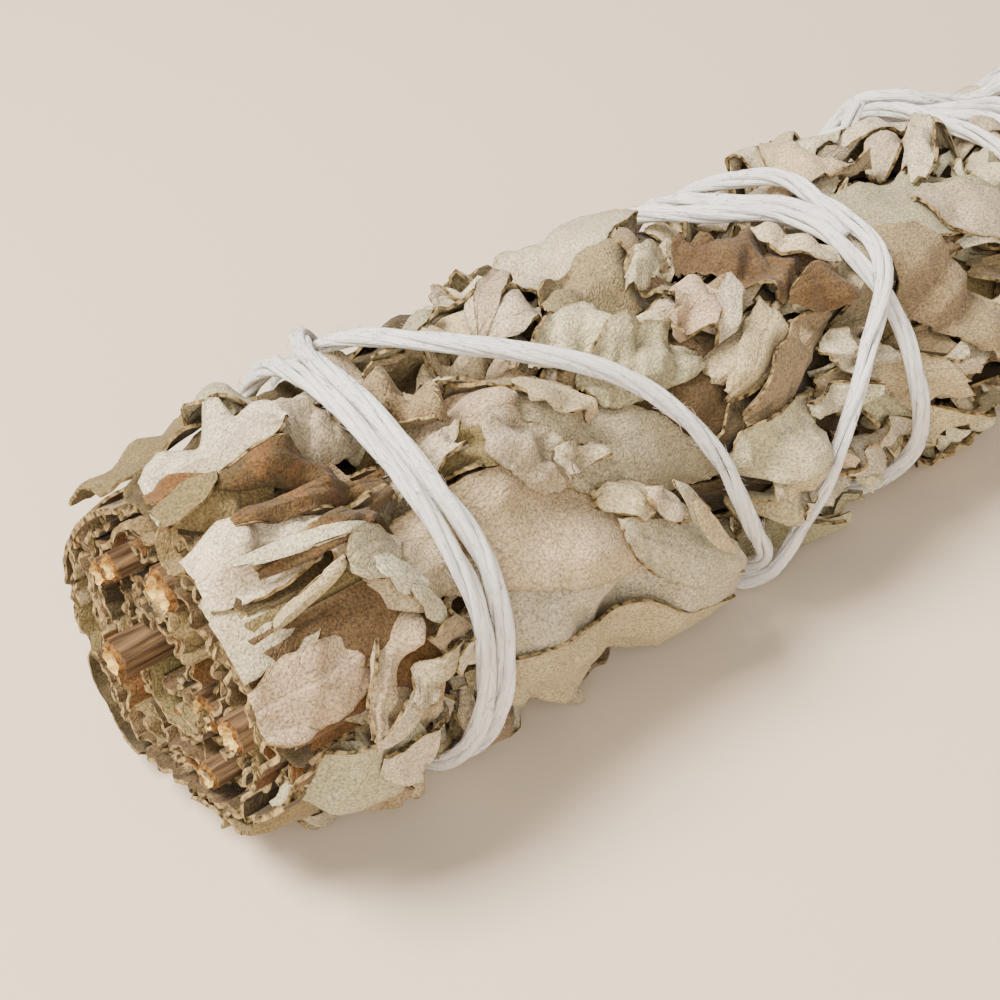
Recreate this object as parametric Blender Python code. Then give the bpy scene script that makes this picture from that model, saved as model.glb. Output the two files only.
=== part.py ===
"""White sage smudge stick: sage leaves laid over woody stems and bound with one cotton string.

Sizes are in millimetres until the meshes are made. A place on the bundle is given by x, the distance
from the cut front end, and by an angle round the stick, from the top towards the side that faces -Y.
"""

import math

import bmesh
import bpy
import numpy as np
from mathutils import Matrix, Vector
from mathutils.bvhtree import BVHTree

MM = 0.001
CLEARANCE = 0.3
SEED = 7

# The bundle: its radius falls by TAPER for each millimetre, and its underside is flattened a little.
LENGTH = 140.0
FRONT_RADIUS = 16.6
TAPER = 0.0207
REST_DEPTH = 0.8
REST_CUT = 0.35
FRONT_EDGE = 2.0
TIP_EDGE = 137.5

# The top and the underside both draw in towards the cut end, and the far side of the top is a little
# lower past BACK_START. LOW_TURN is the angle, in radians, at which the underside draws in most.
TOP_NARROWING = 4.2
TOP_NARROWING_LENGTH = 14.0
LOW_NARROWING = 5.0
LOW_NARROWING_LENGTH = 14.0
LOW_TURN = 2.88
BACK_NARROWING = 0.8
BACK_START = 20.0
BACK_LENGTH = 20.0
BACK_TURN = 0.7

# The wraps near the tip pull the bundle in, and it narrows again towards the leaf tips.
WRAP_NARROWING = 1.2
WRAP_START = 84.0
WRAP_LENGTH = 14.0
TIP_START = 118.0
TIP_NARROWING = 3.5

# A blade's root goes down steeply over the last part of its row, and bites into what is below it.
BLADE_THICKNESS = 0.7
BLADE_GAP = 0.35
ROOT_DEPTH = 1.0
ROOT_STEEPNESS = 0.7
HIGHEST_STACK = 3.8
ROW_LENGTH = 6.2
WIDE_LEAF = 9.5
COVER_RIB = 0.4
COVER_CURL = 0.8

CORE_START = 8.0
CORE_END = 131.0
CORE_SINK = 1.3
CORE_SIDES = 18
CORE_STATIONS = 14
INNER_OVERLAP = 3.0

STEM_STATIONS = 5
STEM_SIDES = 6

# The string's route has a point every ROUTE_STEP. The tube takes every STRING_STEP of them, and every
# END_STEP of the last END_POINTS, where the string turns back to its stub.
STRING_DIAMETER = 1.4
STRING_SIDES = 6
ROUTE_STEP = 1.0
STRING_STEP = 4
END_STEP = 2
END_POINTS = 24
STRING_LIFT = 0.1
STRAND_SPACING = STRING_DIAMETER + 0.25
MOST_CROSSINGS = 5
STUB_HEIGHT = 2.3
STUB_LEAN = 0.75

# The string presses a groove into the leaves, deeper underneath, where the stick lies on the surface.
GROOVE_DEPTH = 1.5
GROOVE_DEPTH_UNDER = 3.6
GROOVE_WIDTH = 4.5
FLOOR_GAP = 0.05

# The height map's cells: CELL along the stick, TURN_CELLS in a turn, smoothed SETTLE_PASSES times.
CELL = 0.7
TURN_CELLS = 150
SETTLE_PASSES = 90
LOOK_CELLS = 3
FINE_STEPS = 25
CURVE_STEPS = 40

# The side that shows has its own large leaves, so the cover rows leave it free, angles in degrees.
SHOWN_LENGTH = 60.0
SHOWN_START = -15.0
SHOWN_WIDTH = 115.0

# The large leaves and crumples on the side that shows most, from the bottom layer to the top one:
# x, angle, turn from the stick's own direction, length, width, raised midrib, curled edge.
FEATURE_LEAVES = (
    (31.0, 97.0, 20.0, 31.0, 8.0, 0.2, 0.4),
    (32.0, 112.0, 14.0, 27.0, 9.0, 0.3, 0.3),
    (10.0, 86.0, 38.0, 14.0, 5.0, 0.6, 0.5),
    (6.5, 99.0, -18.0, 11.0, 6.5, 0.3, 0.6),
    (13.0, 104.0, 28.0, 12.0, 4.5, 0.4, 0.7),
    (41.0, -19.0, 0.0, 22.0, 9.0, 0.5, 0.8),
    (14.5, -17.0, 35.0, 11.0, 8.0, 0.3, 0.6),
    (8.0, -3.0, 28.0, 10.0, 7.0, 0.2, 0.7),
    (7.0, 5.0, 15.0, 9.0, 4.5, 0.5, 0.5),
    (4.8, 17.0, 8.0, 9.0, 6.0, 0.3, 0.4),
    (25.8, 67.4, 24.0, 28.0, 9.5, 0.5, 0.3),
    (35.0, 55.1, 38.0, 25.0, 8.5, 0.6, 0.3),
    (38.4, 88.0, 34.0, 16.0, 4.5, 0.5, 0.5),
    (4.6, 31.0, 12.0, 12.5, 6.0, 0.5, 0.8),
    (4.4, 48.0, -6.0, 12.0, 8.0, 0.3, 0.5),
    (5.2, 69.0, 0.0, 12.0, 6.0, 0.4, 0.7),
    (10.8, 73.0, -47.0, 10.5, 3.6, 0.5, 0.8),
    (15.5, 56.5, 15.0, 9.0, 5.5, 0.7, 0.6),
    (11.5, 41.0, 20.0, 7.0, 4.0, 0.5, 0.5),
    (24.3, 21.0, 14.0, 8.0, 7.0, 0.5, 0.9),
    (22.5, 33.0, 22.0, 8.0, 4.5, 0.5, 0.6),
    (26.8, 42.0, 60.0, 8.0, 5.5, 0.6, 0.7),
    (29.5, 20.0, 34.0, 9.0, 5.0, 0.7, 0.8),
    (44.0, 3.0, 4.0, 13.0, 7.0, 0.6, 1.0),
    (39.5, 20.0, 8.0, 13.0, 6.0, 0.5, 0.6),
    (40.5, 35.0, 14.0, 12.0, 6.5, 0.4, 0.7),
    (49.0, 11.0, 70.0, 10.0, 6.0, 0.7, 0.9),
    (51.3, 43.0, -30.0, 12.0, 5.5, 0.8, 0.8),
    (54.5, 55.0, -17.0, 15.0, 6.0, 0.6, 0.8),
    (56.5, 16.0, 48.0, 12.0, 7.5, 0.5, 0.7),
    (51.5, 75.0, -10.0, 12.0, 6.5, 0.4, 0.6),
    (74.0, 21.0, 28.0, 20.0, 9.0, 0.4, 0.4),
    (66.5, 47.0, 80.0, 11.0, 7.5, 0.4, 0.7),
    (72.5, 55.0, 55.0, 15.0, 6.5, 0.7, 0.8),
    (65.5, 84.0, 26.0, 18.0, 6.5, 0.5, 0.6),
    (79.5, 40.0, 45.0, 12.0, 6.5, 0.5, 0.6),
)

# The three folded brown leaves near the front, which show as one cluster.
BROWN_LEAVES = (
    (11.8, 20.0, 18.0, 13.5, 4.8, 0.7, 0.5),
    (10.8, 26.5, 7.0, 12.5, 4.6, 0.7, 0.5),
    (10.4, 33.0, -6.0, 12.0, 4.4, 0.6, 0.5),
)

# Rows of leaves that cover the whole bundle under the ones above: x, leaves round, length, width.
COVER_ROWS = (
    (8.8, 8, 18.0, 14.5),
    (27.0, 5, 26.0, 15.0),
    (48.0, 5, 27.0, 15.0),
    (69.0, 5, 27.0, 15.0),
    (90.0, 5, 27.0, 15.0),
    (109.0, 5, 26.0, 14.0),
    (126.0, 6, 24.0, 12.0),
)

# Woody stems inside the bundle: across, up, radius, end at the cut face, end inside the bundle.
STEMS = (
    (4.0, 6.6, 0.9, 1.4, 96.0),
    (-1.0, 6.9, 1.5, 2.2, 118.0),
    (4.4, -1.7, 1.2, 0.8, 108.0),
    (-4.2, -2.1, 1.2, 2.6, 122.0),
    (-1.5, 1.6, 0.9, 3.4, 84.0),
    (-9.4, 0.2, 1.1, 1.2, 66.0),
    (-4.6, -7.4, 0.9, 2.0, 92.0),
    (8.6, 2.6, 0.9, 2.8, 78.0),
    (0.4, -6.6, 1.0, 3.2, 60.0),
)

# The string's route, as x and the angle that it has turned through. It starts tucked under a crossing,
# goes down to the cut end and twice round there, up to the tip, and back to the wraps near its free stub.
STRING_ROUTE = (
    (65.5, 5066), (65.4, 5059), (65.1, 5051), (64.3, 5044), (63.0, 5039), (61.3, 5032), (60.2, 5022),
    (59.7, 5010), (60.2, 4990), (63.0, 4940), (66.6, 4860), (68.0, 4797), (67.5, 4783), (66.5, 4768),
    (65.8, 4757), (65.4, 4747), (65.2, 4738), (65.0, 4729), (64.7, 4720), (64.3, 4710), (64.0, 4701),
    (63.4, 4693), (62.8, 4687), (61.6, 4682.5), (59.6, 4677), (57.8, 4670), (56.7, 4662), (56.0, 4648),
    (55.0, 4620), (54.0, 4560), (53.3, 4500), (51.6, 4450), (47.4, 4424), (44.8, 4406), (43.0, 4390),
    (41.1, 4376), (39.4, 4366), (37.4, 4356), (34.8, 4347), (32.0, 4339), (29.6, 4331), (27.2, 4322),
    (25.2, 4311), (24.1, 4298), (23.5, 4280), (22.6, 4240), (20.5, 4180), (18.7, 4130), (18.3, 4085),
    (18.3, 4063), (18.1, 4040), (17.8, 4027), (17.1, 4013), (16.5, 3998), (16.2, 3983), (16.3, 3969),
    (16.6, 3956), (17.4, 3942), (18.7, 3924), (19.5, 3895), (19.8, 3850), (19.9, 3780), (20.1, 3731),
    (20.2, 3711), (20.1, 3690), (19.8, 3671), (19.4, 3658), (18.8, 3648), (18.2, 3639), (17.9, 3627),
    (17.9, 3614), (18.2, 3601), (19.2, 3587), (22.3, 3564), (27.5, 3540), (36.0, 3500), (45.0, 3440),
    (50.5, 3392), (53.6, 3364), (54.6, 3348), (55.3, 3337), (56.0, 3328), (57.1, 3319), (58.7, 3311),
    (60.4, 3303), (62.1, 3296), (63.6, 3289), (65.0, 3282), (66.1, 3275), (66.8, 3267), (67.1, 3259),
    (67.3, 3251), (67.8, 3241), (68.3, 3232), (68.0, 3224), (66.4, 3216), (64.9, 3204), (65.1, 3188),
    (67.0, 3170), (72.0, 3145), (82.0, 3060), (93.0, 2970), (101.5, 2880), (104.5, 2850), (107.0, 2750),
    (109.0, 2590), (113.5, 2400), (118.5, 2240), (120.5, 2100), (117.5, 1960), (112.0, 1800),
    (107.0, 1620), (103.0, 1440), (100.0, 1310), (98.6, 1200), (97.8, 1105), (96.3, 1078), (93.8, 1071),
    (91.8, 1063), (91.0, 1045), (91.6, 950), (93.2, 800), (92.6, 732), (91.3, 720), (89.5, 713),
    (88.7, 695), (88.8, 600), (88.6, 470), (88.4, 381), (87.9, 362), (87.5, 340), (89.0, 308),
    (95.5, 240), (102.5, 150), (104.5, 60), (103.5, 8), (101.3, -6), (98.3, -17), (95.0, -26),
    (92.4, -29), (90.4, -35), (88.6, -43), (86.0, -51), (82.9, -54), (81.2, -48), (81.8, -40),
    (83.6, -31),
)

# Leaning by the taper lays the underside level. The cut end isn't quite square to the stick.
LEAN = Matrix.Rotation(math.atan(TAPER), 4, "Y")
FRONT_TURN = Matrix.Rotation(math.radians(-6.0), 4, "Z")
FRONT_TILT = Matrix.Rotation(math.radians(2.0), 4, "Y")

# Each finish: its linear base colour and its roughness.
COLOURS = {
    "sage_leaf": ((0.46, 0.42, 0.33), 0.95),
    "brown_leaf": ((0.20, 0.11, 0.055), 0.95),
    "woody_stem": ((0.42, 0.26, 0.12), 0.85),
    "cotton": ((0.84, 0.82, 0.79), 0.9),
}


def clear_scene():
    for thing in list(bpy.data.objects):
        bpy.data.objects.remove(thing)


def material(name):
    """The finish of that name, made once."""
    found = bpy.data.materials.get(name)
    if found:
        return found
    made = bpy.data.materials.new(name)
    made.use_nodes = True
    colour, roughness = COLOURS[name]
    shader = made.node_tree.nodes["Principled BSDF"]
    shader.inputs["Base Color"].default_value = (*colour, 1.0)
    shader.inputs["Roughness"].default_value = roughness
    shader.inputs["Metallic"].default_value = 0.0
    return made


def solid(name, points, faces, finish):
    """A mesh object from points in millimetres and faces."""
    mesh = bpy.data.meshes.new(name)
    mesh.from_pydata((np.asarray(points) * MM).tolist(), [], [list(face) for face in faces])
    mesh.materials.append(material(finish))
    made = bpy.data.objects.new(name, mesh)
    bpy.context.scene.collection.objects.link(made)
    return made


def bundle_radius(x, angle):
    """The bundle's outside before single leaves and the string shape it, angle in radians."""
    straight = FRONT_RADIUS - TAPER * x
    radius = straight + 0.4 * np.sin(2 * angle + 0.06 * x)
    radius = radius + 0.3 * np.sin(3 * angle - 0.045 * x + 1.0)
    upper = np.clip(np.cos(angle + 0.3), 0.0, 1.0)
    radius = radius - TOP_NARROWING * upper * np.clip(1.0 - x / TOP_NARROWING_LENGTH, 0.0, 1.0) ** 1.4
    lower = np.clip(np.cos(angle - LOW_TURN), 0.0, 1.0)
    radius = radius - LOW_NARROWING * lower**2 * np.clip(1.0 - x / LOW_NARROWING_LENGTH, 0.0, 1.0) ** 1.4
    back = np.clip(np.cos(angle + BACK_TURN), 0.0, 1.0)
    radius = radius - BACK_NARROWING * back**2 * np.clip((x - BACK_START) / BACK_LENGTH, 0.0, 1.0)
    wraps = np.clip((x - WRAP_START) / WRAP_LENGTH, 0.0, 1.0)
    radius = radius - WRAP_NARROWING * wraps**2 * (3.0 - 2.0 * wraps)
    tip = np.clip((x - TIP_START) / (LENGTH - TIP_START), 0.0, 1.2)
    radius = radius - TIP_NARROWING * tip**2
    under = np.maximum(-np.cos(angle), 0.3)
    return np.minimum(radius, (straight - REST_DEPTH) / under)


def to_space(x, angle, radius):
    """Points from x, angle and radius, with the stick's axis along X through the origin."""
    return np.stack([x, -radius * np.sin(angle), radius * np.cos(angle)], axis=-1)


def smooth_route(route, step):
    """Points a step apart on a smooth curve through the route's own points, as x and angle."""
    points = np.array(route, float)
    points[:, 1] = np.radians(points[:, 1])
    points = np.vstack([2 * points[0] - points[1], points, 2 * points[-1] - points[-2]])
    t = np.linspace(0.0, 1.0, CURVE_STEPS, endpoint=False)[:, None]
    curve = []
    for a, b, c, d in zip(points, points[1:], points[2:], points[3:]):
        bend = 2 * a - 5 * b + 4 * c - d
        twist = 3 * b - a - 3 * c + d
        curve.append(0.5 * (2 * b + (c - a) * t + bend * t**2 + twist * t**3))
    curve = np.vstack(curve)
    along = np.hypot(np.diff(curve[:, 0]), np.diff(curve[:, 1]) * FRONT_RADIUS)
    along = np.concatenate([[0.0], np.cumsum(along)])
    stations = np.arange(0.0, along[-1], step)
    return np.stack([np.interp(stations, along, curve[:, k]) for k in (0, 1)], axis=1)


class Layers:
    """How high leaves lie over the core, on a grid of cells along the stick and round it."""

    def __init__(self):
        self.height = np.zeros((int(LENGTH / CELL) + 1, TURN_CELLS))
        self.groove = np.zeros_like(self.height)

    def cells(self, x, angle):
        along = np.clip(np.rint(x / CELL).astype(int), 0, len(self.height) - 1)
        around = np.rint(angle * TURN_CELLS / (2 * math.pi)).astype(int) % TURN_CELLS
        return along, around

    def read(self, grid, x, angle):
        """The grid's value at each place, blended between the four cells round it."""
        a = np.clip(x / CELL, 0, len(grid) - 1.001)
        b = (angle * TURN_CELLS / (2 * math.pi)) % TURN_CELLS
        i, j = a.astype(int), b.astype(int)
        p, q = a - i, b - j
        k = (j + 1) % TURN_CELLS
        near = grid[i, j] * (1 - q) + grid[i, k] * q
        far = grid[i + 1, j] * (1 - q) + grid[i + 1, k] * q
        return near * (1 - p) + far * p

    def highest(self, x, angle, reach):
        """The highest cell within a reach of cells of each place."""
        along, around = self.cells(x, angle)
        found = np.zeros_like(x)
        for i in range(-reach, reach + 1):
            row = np.clip(along + i, 0, len(self.height) - 1)
            for j in range(-reach, reach + 1):
                found = np.maximum(found, self.height[row, (around + j) % TURN_CELLS])
        return found

    def raise_to(self, x, angle, top):
        along, around = self.cells(x, angle)
        np.maximum.at(self.height, (along, around), top)

    def press(self, route):
        """Marks the groove that the string presses, deeper underneath, where it lies on the surface."""
        reach = int(2.0 * GROOVE_WIDTH / CELL)
        for x, angle in route:
            along, around = self.cells(np.array([x]), np.array([angle]))
            under = np.clip((-math.cos(angle) - 0.7) / 0.2, 0.0, 1.0)
            depth = GROOVE_DEPTH + (GROOVE_DEPTH_UNDER - GROOVE_DEPTH) * under
            for i in range(-reach, reach + 1):
                row = int(np.clip(along[0] + i, 0, len(self.groove) - 1))
                columns = (around[0] + np.arange(-reach, reach + 1)) % TURN_CELLS
                away = np.hypot(i, np.arange(-reach, reach + 1)) * CELL / GROOVE_WIDTH
                self.groove[row, columns] = np.maximum(self.groove[row, columns], depth * np.exp(-away**2))

    def settle(self, passes):
        """The smoothed stack, which sinks the layers so that their top keeps the bundle's outside."""
        level = self.height.copy()
        for _ in range(passes):
            ends = np.vstack([level[:1], level, level[-1:]])
            level = (ends[:-2] + 2 * level + ends[2:]) / 4
            level = (np.roll(level, 1, 1) + 2 * level + np.roll(level, -1, 1)) / 4
        self.level = level

    def radius(self, x, angle, height):
        """The radius of a point that lies at that height over the core, once all is bound."""
        sunk = self.read(self.level, x, angle) + self.read(self.groove, x, angle)
        return bundle_radius(x, angle) - sunk + height


def leaf_shape(leaf, rng):
    """A blade's grid of places along and across it, and its own folds, waves and curled edges."""
    x, angle, turn, length, width, rib, curl = leaf
    rows = int(np.clip(round(length / ROW_LENGTH), 3, 7))
    columns = 2 if width < WIDE_LEAF else 3
    u = np.linspace(0.0, 1.0, rows + 1)[:, None]
    v = np.linspace(-1.0, 1.0, columns + 1)[None, :]
    outline = 0.16 + 0.84 * np.sin(math.pi * np.clip(u, 0.02, 0.98) ** 0.85) ** 0.7
    ragged = 1.0 + 0.10 * rng.uniform(-1, 1, (rows + 1, 1)) * np.abs(v) ** 3
    along = (u - 0.5) * length + 0.0 * v
    across = v * outline * ragged * width / 2 + rng.uniform(-0.06, 0.06) * length * 4 * u * (1 - u)
    edge = np.clip(v * rng.choice([-1, 1]) - 0.3, 0.0, 1.0)
    waves = np.sin(2 * math.pi * (u * rng.uniform(0.8, 1.8) + rng.uniform()))
    own = rib * (1.0 - np.abs(v)) + curl * edge * (0.6 + 0.4 * waves) + 0.2 * waves * v
    own = own + rng.uniform(-0.1, 0.1, own.shape)
    tilt = math.radians(turn)
    place_x = x + along * math.cos(tilt) - across * math.sin(tilt)
    arc = along * math.sin(tilt) + across * math.cos(tilt)
    place_angle = math.radians(angle) + arc / (FRONT_RADIUS - TAPER * x)
    return place_x, place_angle, own


def lay_leaf(layers, leaf, rng, sink="base"):
    """Lays a blade over what is there. Its base end, its far end or neither goes down into the core."""
    x, angle, own = leaf_shape(leaf, rng)
    need = layers.highest(x, angle, LOOK_CELLS) + BLADE_GAP + BLADE_THICKNESS / 2 - own
    need = np.minimum(need, HIGHEST_STACK)
    base = need
    for _ in range(3):
        wide = np.pad(base, 1, mode="edge")
        mean = (wide[:-2, 1:-1] + wide[2:, 1:-1] + wide[1:-1, :-2] + wide[1:-1, 2:]) / 4
        base = np.maximum(need, mean)
    height = base + own
    if sink != "none":
        root, next_row = (0, 1) if sink == "base" else (-1, -2)
        for place in (x, angle):
            pulled = ROOT_STEEPNESS * place[next_row].mean()
            place[root] = pulled + (1 - ROOT_STEEPNESS) * place[root]
        under = layers.read(layers.height, x[root], angle[root]).min()
        height[root] = under - ROOT_DEPTH if under > BLADE_THICKNESS else -CORE_SINK - ROOT_DEPTH
    fine = np.linspace(0.0, 1.0, FINE_STEPS)
    spots = [upsample(grid, fine) for grid in (x, angle, height)]
    layers.raise_to(spots[0], spots[1], spots[2] + BLADE_THICKNESS / 2)
    return x, angle, height


def upsample(grid, fine):
    """The grid read at finer places along and across it."""
    rows = np.array([np.interp(fine, np.linspace(0, 1, grid.shape[0]), column) for column in grid.T]).T
    return np.array([np.interp(fine, np.linspace(0, 1, grid.shape[1]), row) for row in rows])


def blade_mesh(middle, thickness, grow=0.0):
    """Points and triangles of a closed blade round a grid of middle points, alike on both faces."""
    if grow:
        middle = middle.copy()
        for line in (middle, middle.transpose(1, 0, 2)):
            for end, inner in ((0, 1), (-1, -2)):
                outward = line[end] - line[inner]
                line[end] += outward * grow / np.linalg.norm(outward, axis=1, keepdims=True)
    along = np.gradient(middle, axis=0)
    across = np.gradient(middle, axis=1)
    normal = np.cross(along, across)
    normal /= np.linalg.norm(normal, axis=2, keepdims=True)
    rows, columns = middle.shape[:2]
    half = normal * thickness / 2
    points = np.concatenate([(middle + half).reshape(-1, 3), (middle - half).reshape(-1, 3)])
    lower = rows * columns
    faces = []
    for i in range(rows - 1):
        for j in range(columns - 1):
            a, b = i * columns + j, i * columns + j + 1
            c, d = a + columns, b + columns
            faces += [(a, c, d), (a, d, b)]
            faces += [(lower + a, lower + d, lower + c), (lower + a, lower + b, lower + d)]
    rim = list(range(columns))
    rim += [i * columns + columns - 1 for i in range(1, rows)]
    rim += [(rows - 1) * columns + j for j in range(columns - 2, -1, -1)]
    rim += [i * columns for i in range(rows - 2, 0, -1)]
    for a, b in zip(rim, rim[1:] + rim[:1]):
        faces += [(a, b, lower + b), (a, lower + b, lower + a)]
    return points, faces


def facing_out(points, faces):
    """The faces, turned over if they enclose a negative volume."""
    corners = (points - points.mean(axis=0))[np.array(faces)]
    if np.linalg.det(corners).sum() < 0:
        return [face[::-1] for face in faces]
    return faces


def blade(name, middle, finish, thickness=BLADE_THICKNESS, grow=0.0):
    points, faces = blade_mesh(middle, thickness, grow)
    return solid(name, points, facing_out(points, faces), finish)


def inner_leaves(rng, start, rest, near):
    """Leaves among the stems, which show as cut or pointed edges at one end: their grids of points."""
    grids = []
    rings = ((3.6, 3), (7.2, 5), (10.6, 7)) if near else ((4.5, 2), (9.5, 5))
    for ring, (distance, count) in enumerate(rings):
        for number in range(count):
            middle = 2 * math.pi * (number + 0.3 * ring + rng.uniform(-0.15, 0.15)) / count
            spread = rng.uniform(0.65, 0.85) * math.pi / count
            v = np.linspace(-1.0, 1.0, 4)[None, :]
            u = np.linspace(0.0, 1.0, 2)[:, None]
            angle = middle + v * spread * (1.0 if near else 1.0 - 0.7 * (1 - u))
            waves = 0.5 * np.sin(3.0 * v + rng.uniform(0, 6)) + rng.uniform(-0.7, 0.7) * v
            tighter = 1.0 if near else 0.72 + 0.28 * u
            distances = (distance + waves + rng.uniform(-0.3, 0.3)) * tighter
            ends = start + rng.uniform(-1.5, 1.5) + 0.8 * rng.uniform(-1, 1, v.shape)
            x = ends * (1 - u) + rest * u
            grids.append(to_space(x, angle, distances + 0.0 * u))
    return grids


def core(layers):
    """The packed middle of the bundle, which every leaf stands out of."""
    stations = np.linspace(CORE_START, CORE_END, CORE_STATIONS)
    angles = np.linspace(0.0, 2 * math.pi, CORE_SIDES, endpoint=False)
    x, angle = np.meshgrid(stations, angles, indexing="ij")
    radius = layers.radius(x, angle, -CORE_SINK)
    radius[0] *= 0.9
    radius[-1] *= 0.8
    points = to_space(x, angle, radius).reshape(-1, 3)
    faces = []
    for i in range(CORE_STATIONS - 1):
        for j in range(CORE_SIDES):
            a, b = i * CORE_SIDES + j, i * CORE_SIDES + (j + 1) % CORE_SIDES
            c, d = a + CORE_SIDES, b + CORE_SIDES
            faces += [(a, c, d), (a, d, b)]
    ends = np.array([[CORE_START, 0.0, 0.0], [CORE_END, 0.0, 0.0]])
    first, last, far = len(points), len(points) + 1, (CORE_STATIONS - 1) * CORE_SIDES
    for j in range(CORE_SIDES):
        k = (j + 1) % CORE_SIDES
        faces += [(first, j, k), (last, far + k, far + j)]
    points = np.vstack([points, ends])
    return solid("leaf_bundle", points, facing_out(points, faces), "sage_leaf")


def tube(name, path, radii, sides, finish):
    """A closed tube along a path, with a radius at each point."""
    path = np.asarray(path, float)
    along = np.gradient(path, axis=0)
    along /= np.linalg.norm(along, axis=1, keepdims=True)
    side = np.cross(along[0], (0.0, 0.0, 1.0) if abs(along[0][2]) < 0.9 else (1.0, 0.0, 0.0))
    rings = []
    for point, direction, radius in zip(path, along, radii):
        side = side - direction * np.dot(side, direction)
        side /= np.linalg.norm(side)
        up = np.cross(direction, side)
        turns = 2 * math.pi * np.arange(sides) / sides
        rings.append(point + radius * (np.cos(turns)[:, None] * side + np.sin(turns)[:, None] * up))
    points = np.concatenate(rings)
    faces = []
    for i in range(len(rings) - 1):
        for j in range(sides):
            a, b = i * sides + j, i * sides + (j + 1) % sides
            faces += [(a, b, b + sides), (a, b + sides, a + sides)]
    last = (len(rings) - 1) * sides
    faces += [(0, j + 1, j) for j in range(1, sides - 1)]
    faces += [(last, last + j, last + j + 1) for j in range(1, sides - 1)]
    return solid(name, points, facing_out(points, faces), finish)


def stem_path(stem, number):
    """A woody stem's line, slightly bent, inside the bundle."""
    across, up, _, start, end = stem
    x = np.linspace(start, end, STEM_STATIONS)
    ease = (x - start) / (end - start)
    y = across * (1.0 - 0.25 * ease) + 0.7 * np.sin(2.2 * ease + number) - 0.7 * math.sin(number)
    z = up * (1.0 - 0.25 * ease) + 0.6 * np.sin(2.6 * ease + 2 * number) - 0.6 * math.sin(2 * number)
    return np.stack([x, y, z], axis=1)


def stem(name, number, extra=0.0):
    """A rounded square stem of white sage. The extra radius and length make its hole's cutter."""
    path = stem_path(STEMS[number], number)
    if extra:
        path = np.vstack([path[0] - (FRONT_RADIUS, 0.0, 0.0), path])
        path[-1, 0] += extra
    thinner = np.interp(path[:, 0], (path[0, 0], path[-1, 0]), (1.0, 0.75))
    return tube(name, path, STEMS[number][2] * thinner + extra, STEM_SIDES, "woody_stem")


def box(name, low, high):
    """A plain cutting box between two corners."""
    points = [(x, y, z) for x in (low[0], high[0]) for y in (low[1], high[1]) for z in (low[2], high[2])]
    faces = [(0, 1, 3, 2), (4, 6, 7, 5), (0, 4, 5, 1), (2, 3, 7, 6), (0, 2, 6, 4), (1, 5, 7, 3)]
    return solid(name, points, faces, "sage_leaf")


def combine(target, others, operation):
    """Joins the other objects to the target, or cuts them from it, and removes them."""
    group = bpy.data.collections.new("cutters" if operation == "DIFFERENCE" else "repeats")
    bpy.context.scene.collection.children.link(group)
    for other in others:
        bpy.context.scene.collection.objects.unlink(other)
        group.objects.link(other)
    step = target.modifiers.new(operation.lower(), "BOOLEAN")
    step.operation = operation
    step.solver = "MANIFOLD"
    step.operand_type = "COLLECTION"
    step.collection = group
    bpy.ops.object.select_all(action="DESELECT")
    bpy.context.view_layer.objects.active = target
    target.select_set(True)
    bpy.ops.object.modifier_apply(modifier=step.name)
    for other in others:
        bpy.data.objects.remove(other)
    bpy.data.collections.remove(group)


def keep_largest_body(target):
    """Drops loose scraps and the inner skins of sealed hollows."""
    mesh = bmesh.new()
    mesh.from_mesh(target.data)
    mesh.faces.ensure_lookup_table()
    left = set(mesh.faces)
    bodies = []
    while left:
        start = left.pop()
        body, to_visit = [start], [start]
        while to_visit:
            for edge in to_visit.pop().edges:
                for other in edge.link_faces:
                    if other in left:
                        left.remove(other)
                        body.append(other)
                        to_visit.append(other)
        bodies.append(body)
    bodies.sort(key=lambda body: sum(face.calc_area() for face in body))
    scraps = [face for body in bodies[:-1] for face in body]
    bmesh.ops.delete(mesh, geom=scraps, context="FACES")
    bmesh.ops.triangulate(mesh, faces=mesh.faces[:])
    mesh.to_mesh(target.data)
    mesh.free()


def surface_radius(trees, x, angle):
    """How far from the axis the leaves reach at that place."""
    direction = Vector((0.0, math.sin(angle), -math.cos(angle)))
    outside = 2 * FRONT_RADIUS
    start = Vector(to_space(x, angle, outside) * MM)
    found = 0.0
    for tree in trees:
        hit = tree.ray_cast(start, direction)
        if hit[0] is not None:
            found = max(found, outside - hit[3] / MM)
    return found


def string_radii(trees, route):
    """The radius of the string's centre along its route, over the leaves and over its own strands."""
    half = STRING_DIAMETER / 2
    floor_room = FRONT_RADIUS - REST_DEPTH - REST_CUT - half - FLOOR_GAP
    x, angle = route[:, 0], route[:, 1]
    local = FRONT_RADIUS - TAPER * x
    slope = np.gradient(route, axis=0)
    run = np.hypot(slope[:, 0], slope[:, 1] * local)
    across = np.stack([-slope[:, 1] * local, slope[:, 0] / local], axis=1) / run[:, None]
    need = np.array([
        max(surface_radius(trees, *(place + side * offset)) for offset in (-1.0, 0.0, 1.0))
        for place, side in zip(route, across)
    ])
    need += half + CLEARANCE + STRING_LIFT
    room = (floor_room - TAPER * x) / np.maximum(-np.cos(angle), 0.3)
    number = np.arange(len(route))
    earlier = number[:, None] - number[None, :] > 4 * STRAND_SPACING
    turned = (angle[:, None] - angle[None, :] + math.pi) % (2 * math.pi) - math.pi
    away = np.hypot(x[:, None] - x[None, :], turned * FRONT_RADIUS)
    crossing = earlier & (away < STRAND_SPACING)
    hump = np.sqrt(np.maximum(STRAND_SPACING**2 - away**2, 0.0))
    radii = eased(need)
    for _ in range(MOST_CROSSINGS):
        over = np.where(crossing, radii[None, :] + hump, 0.0)
        radii = eased(np.maximum(need, over.max(axis=1)))
    return np.minimum(radii, room)


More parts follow.
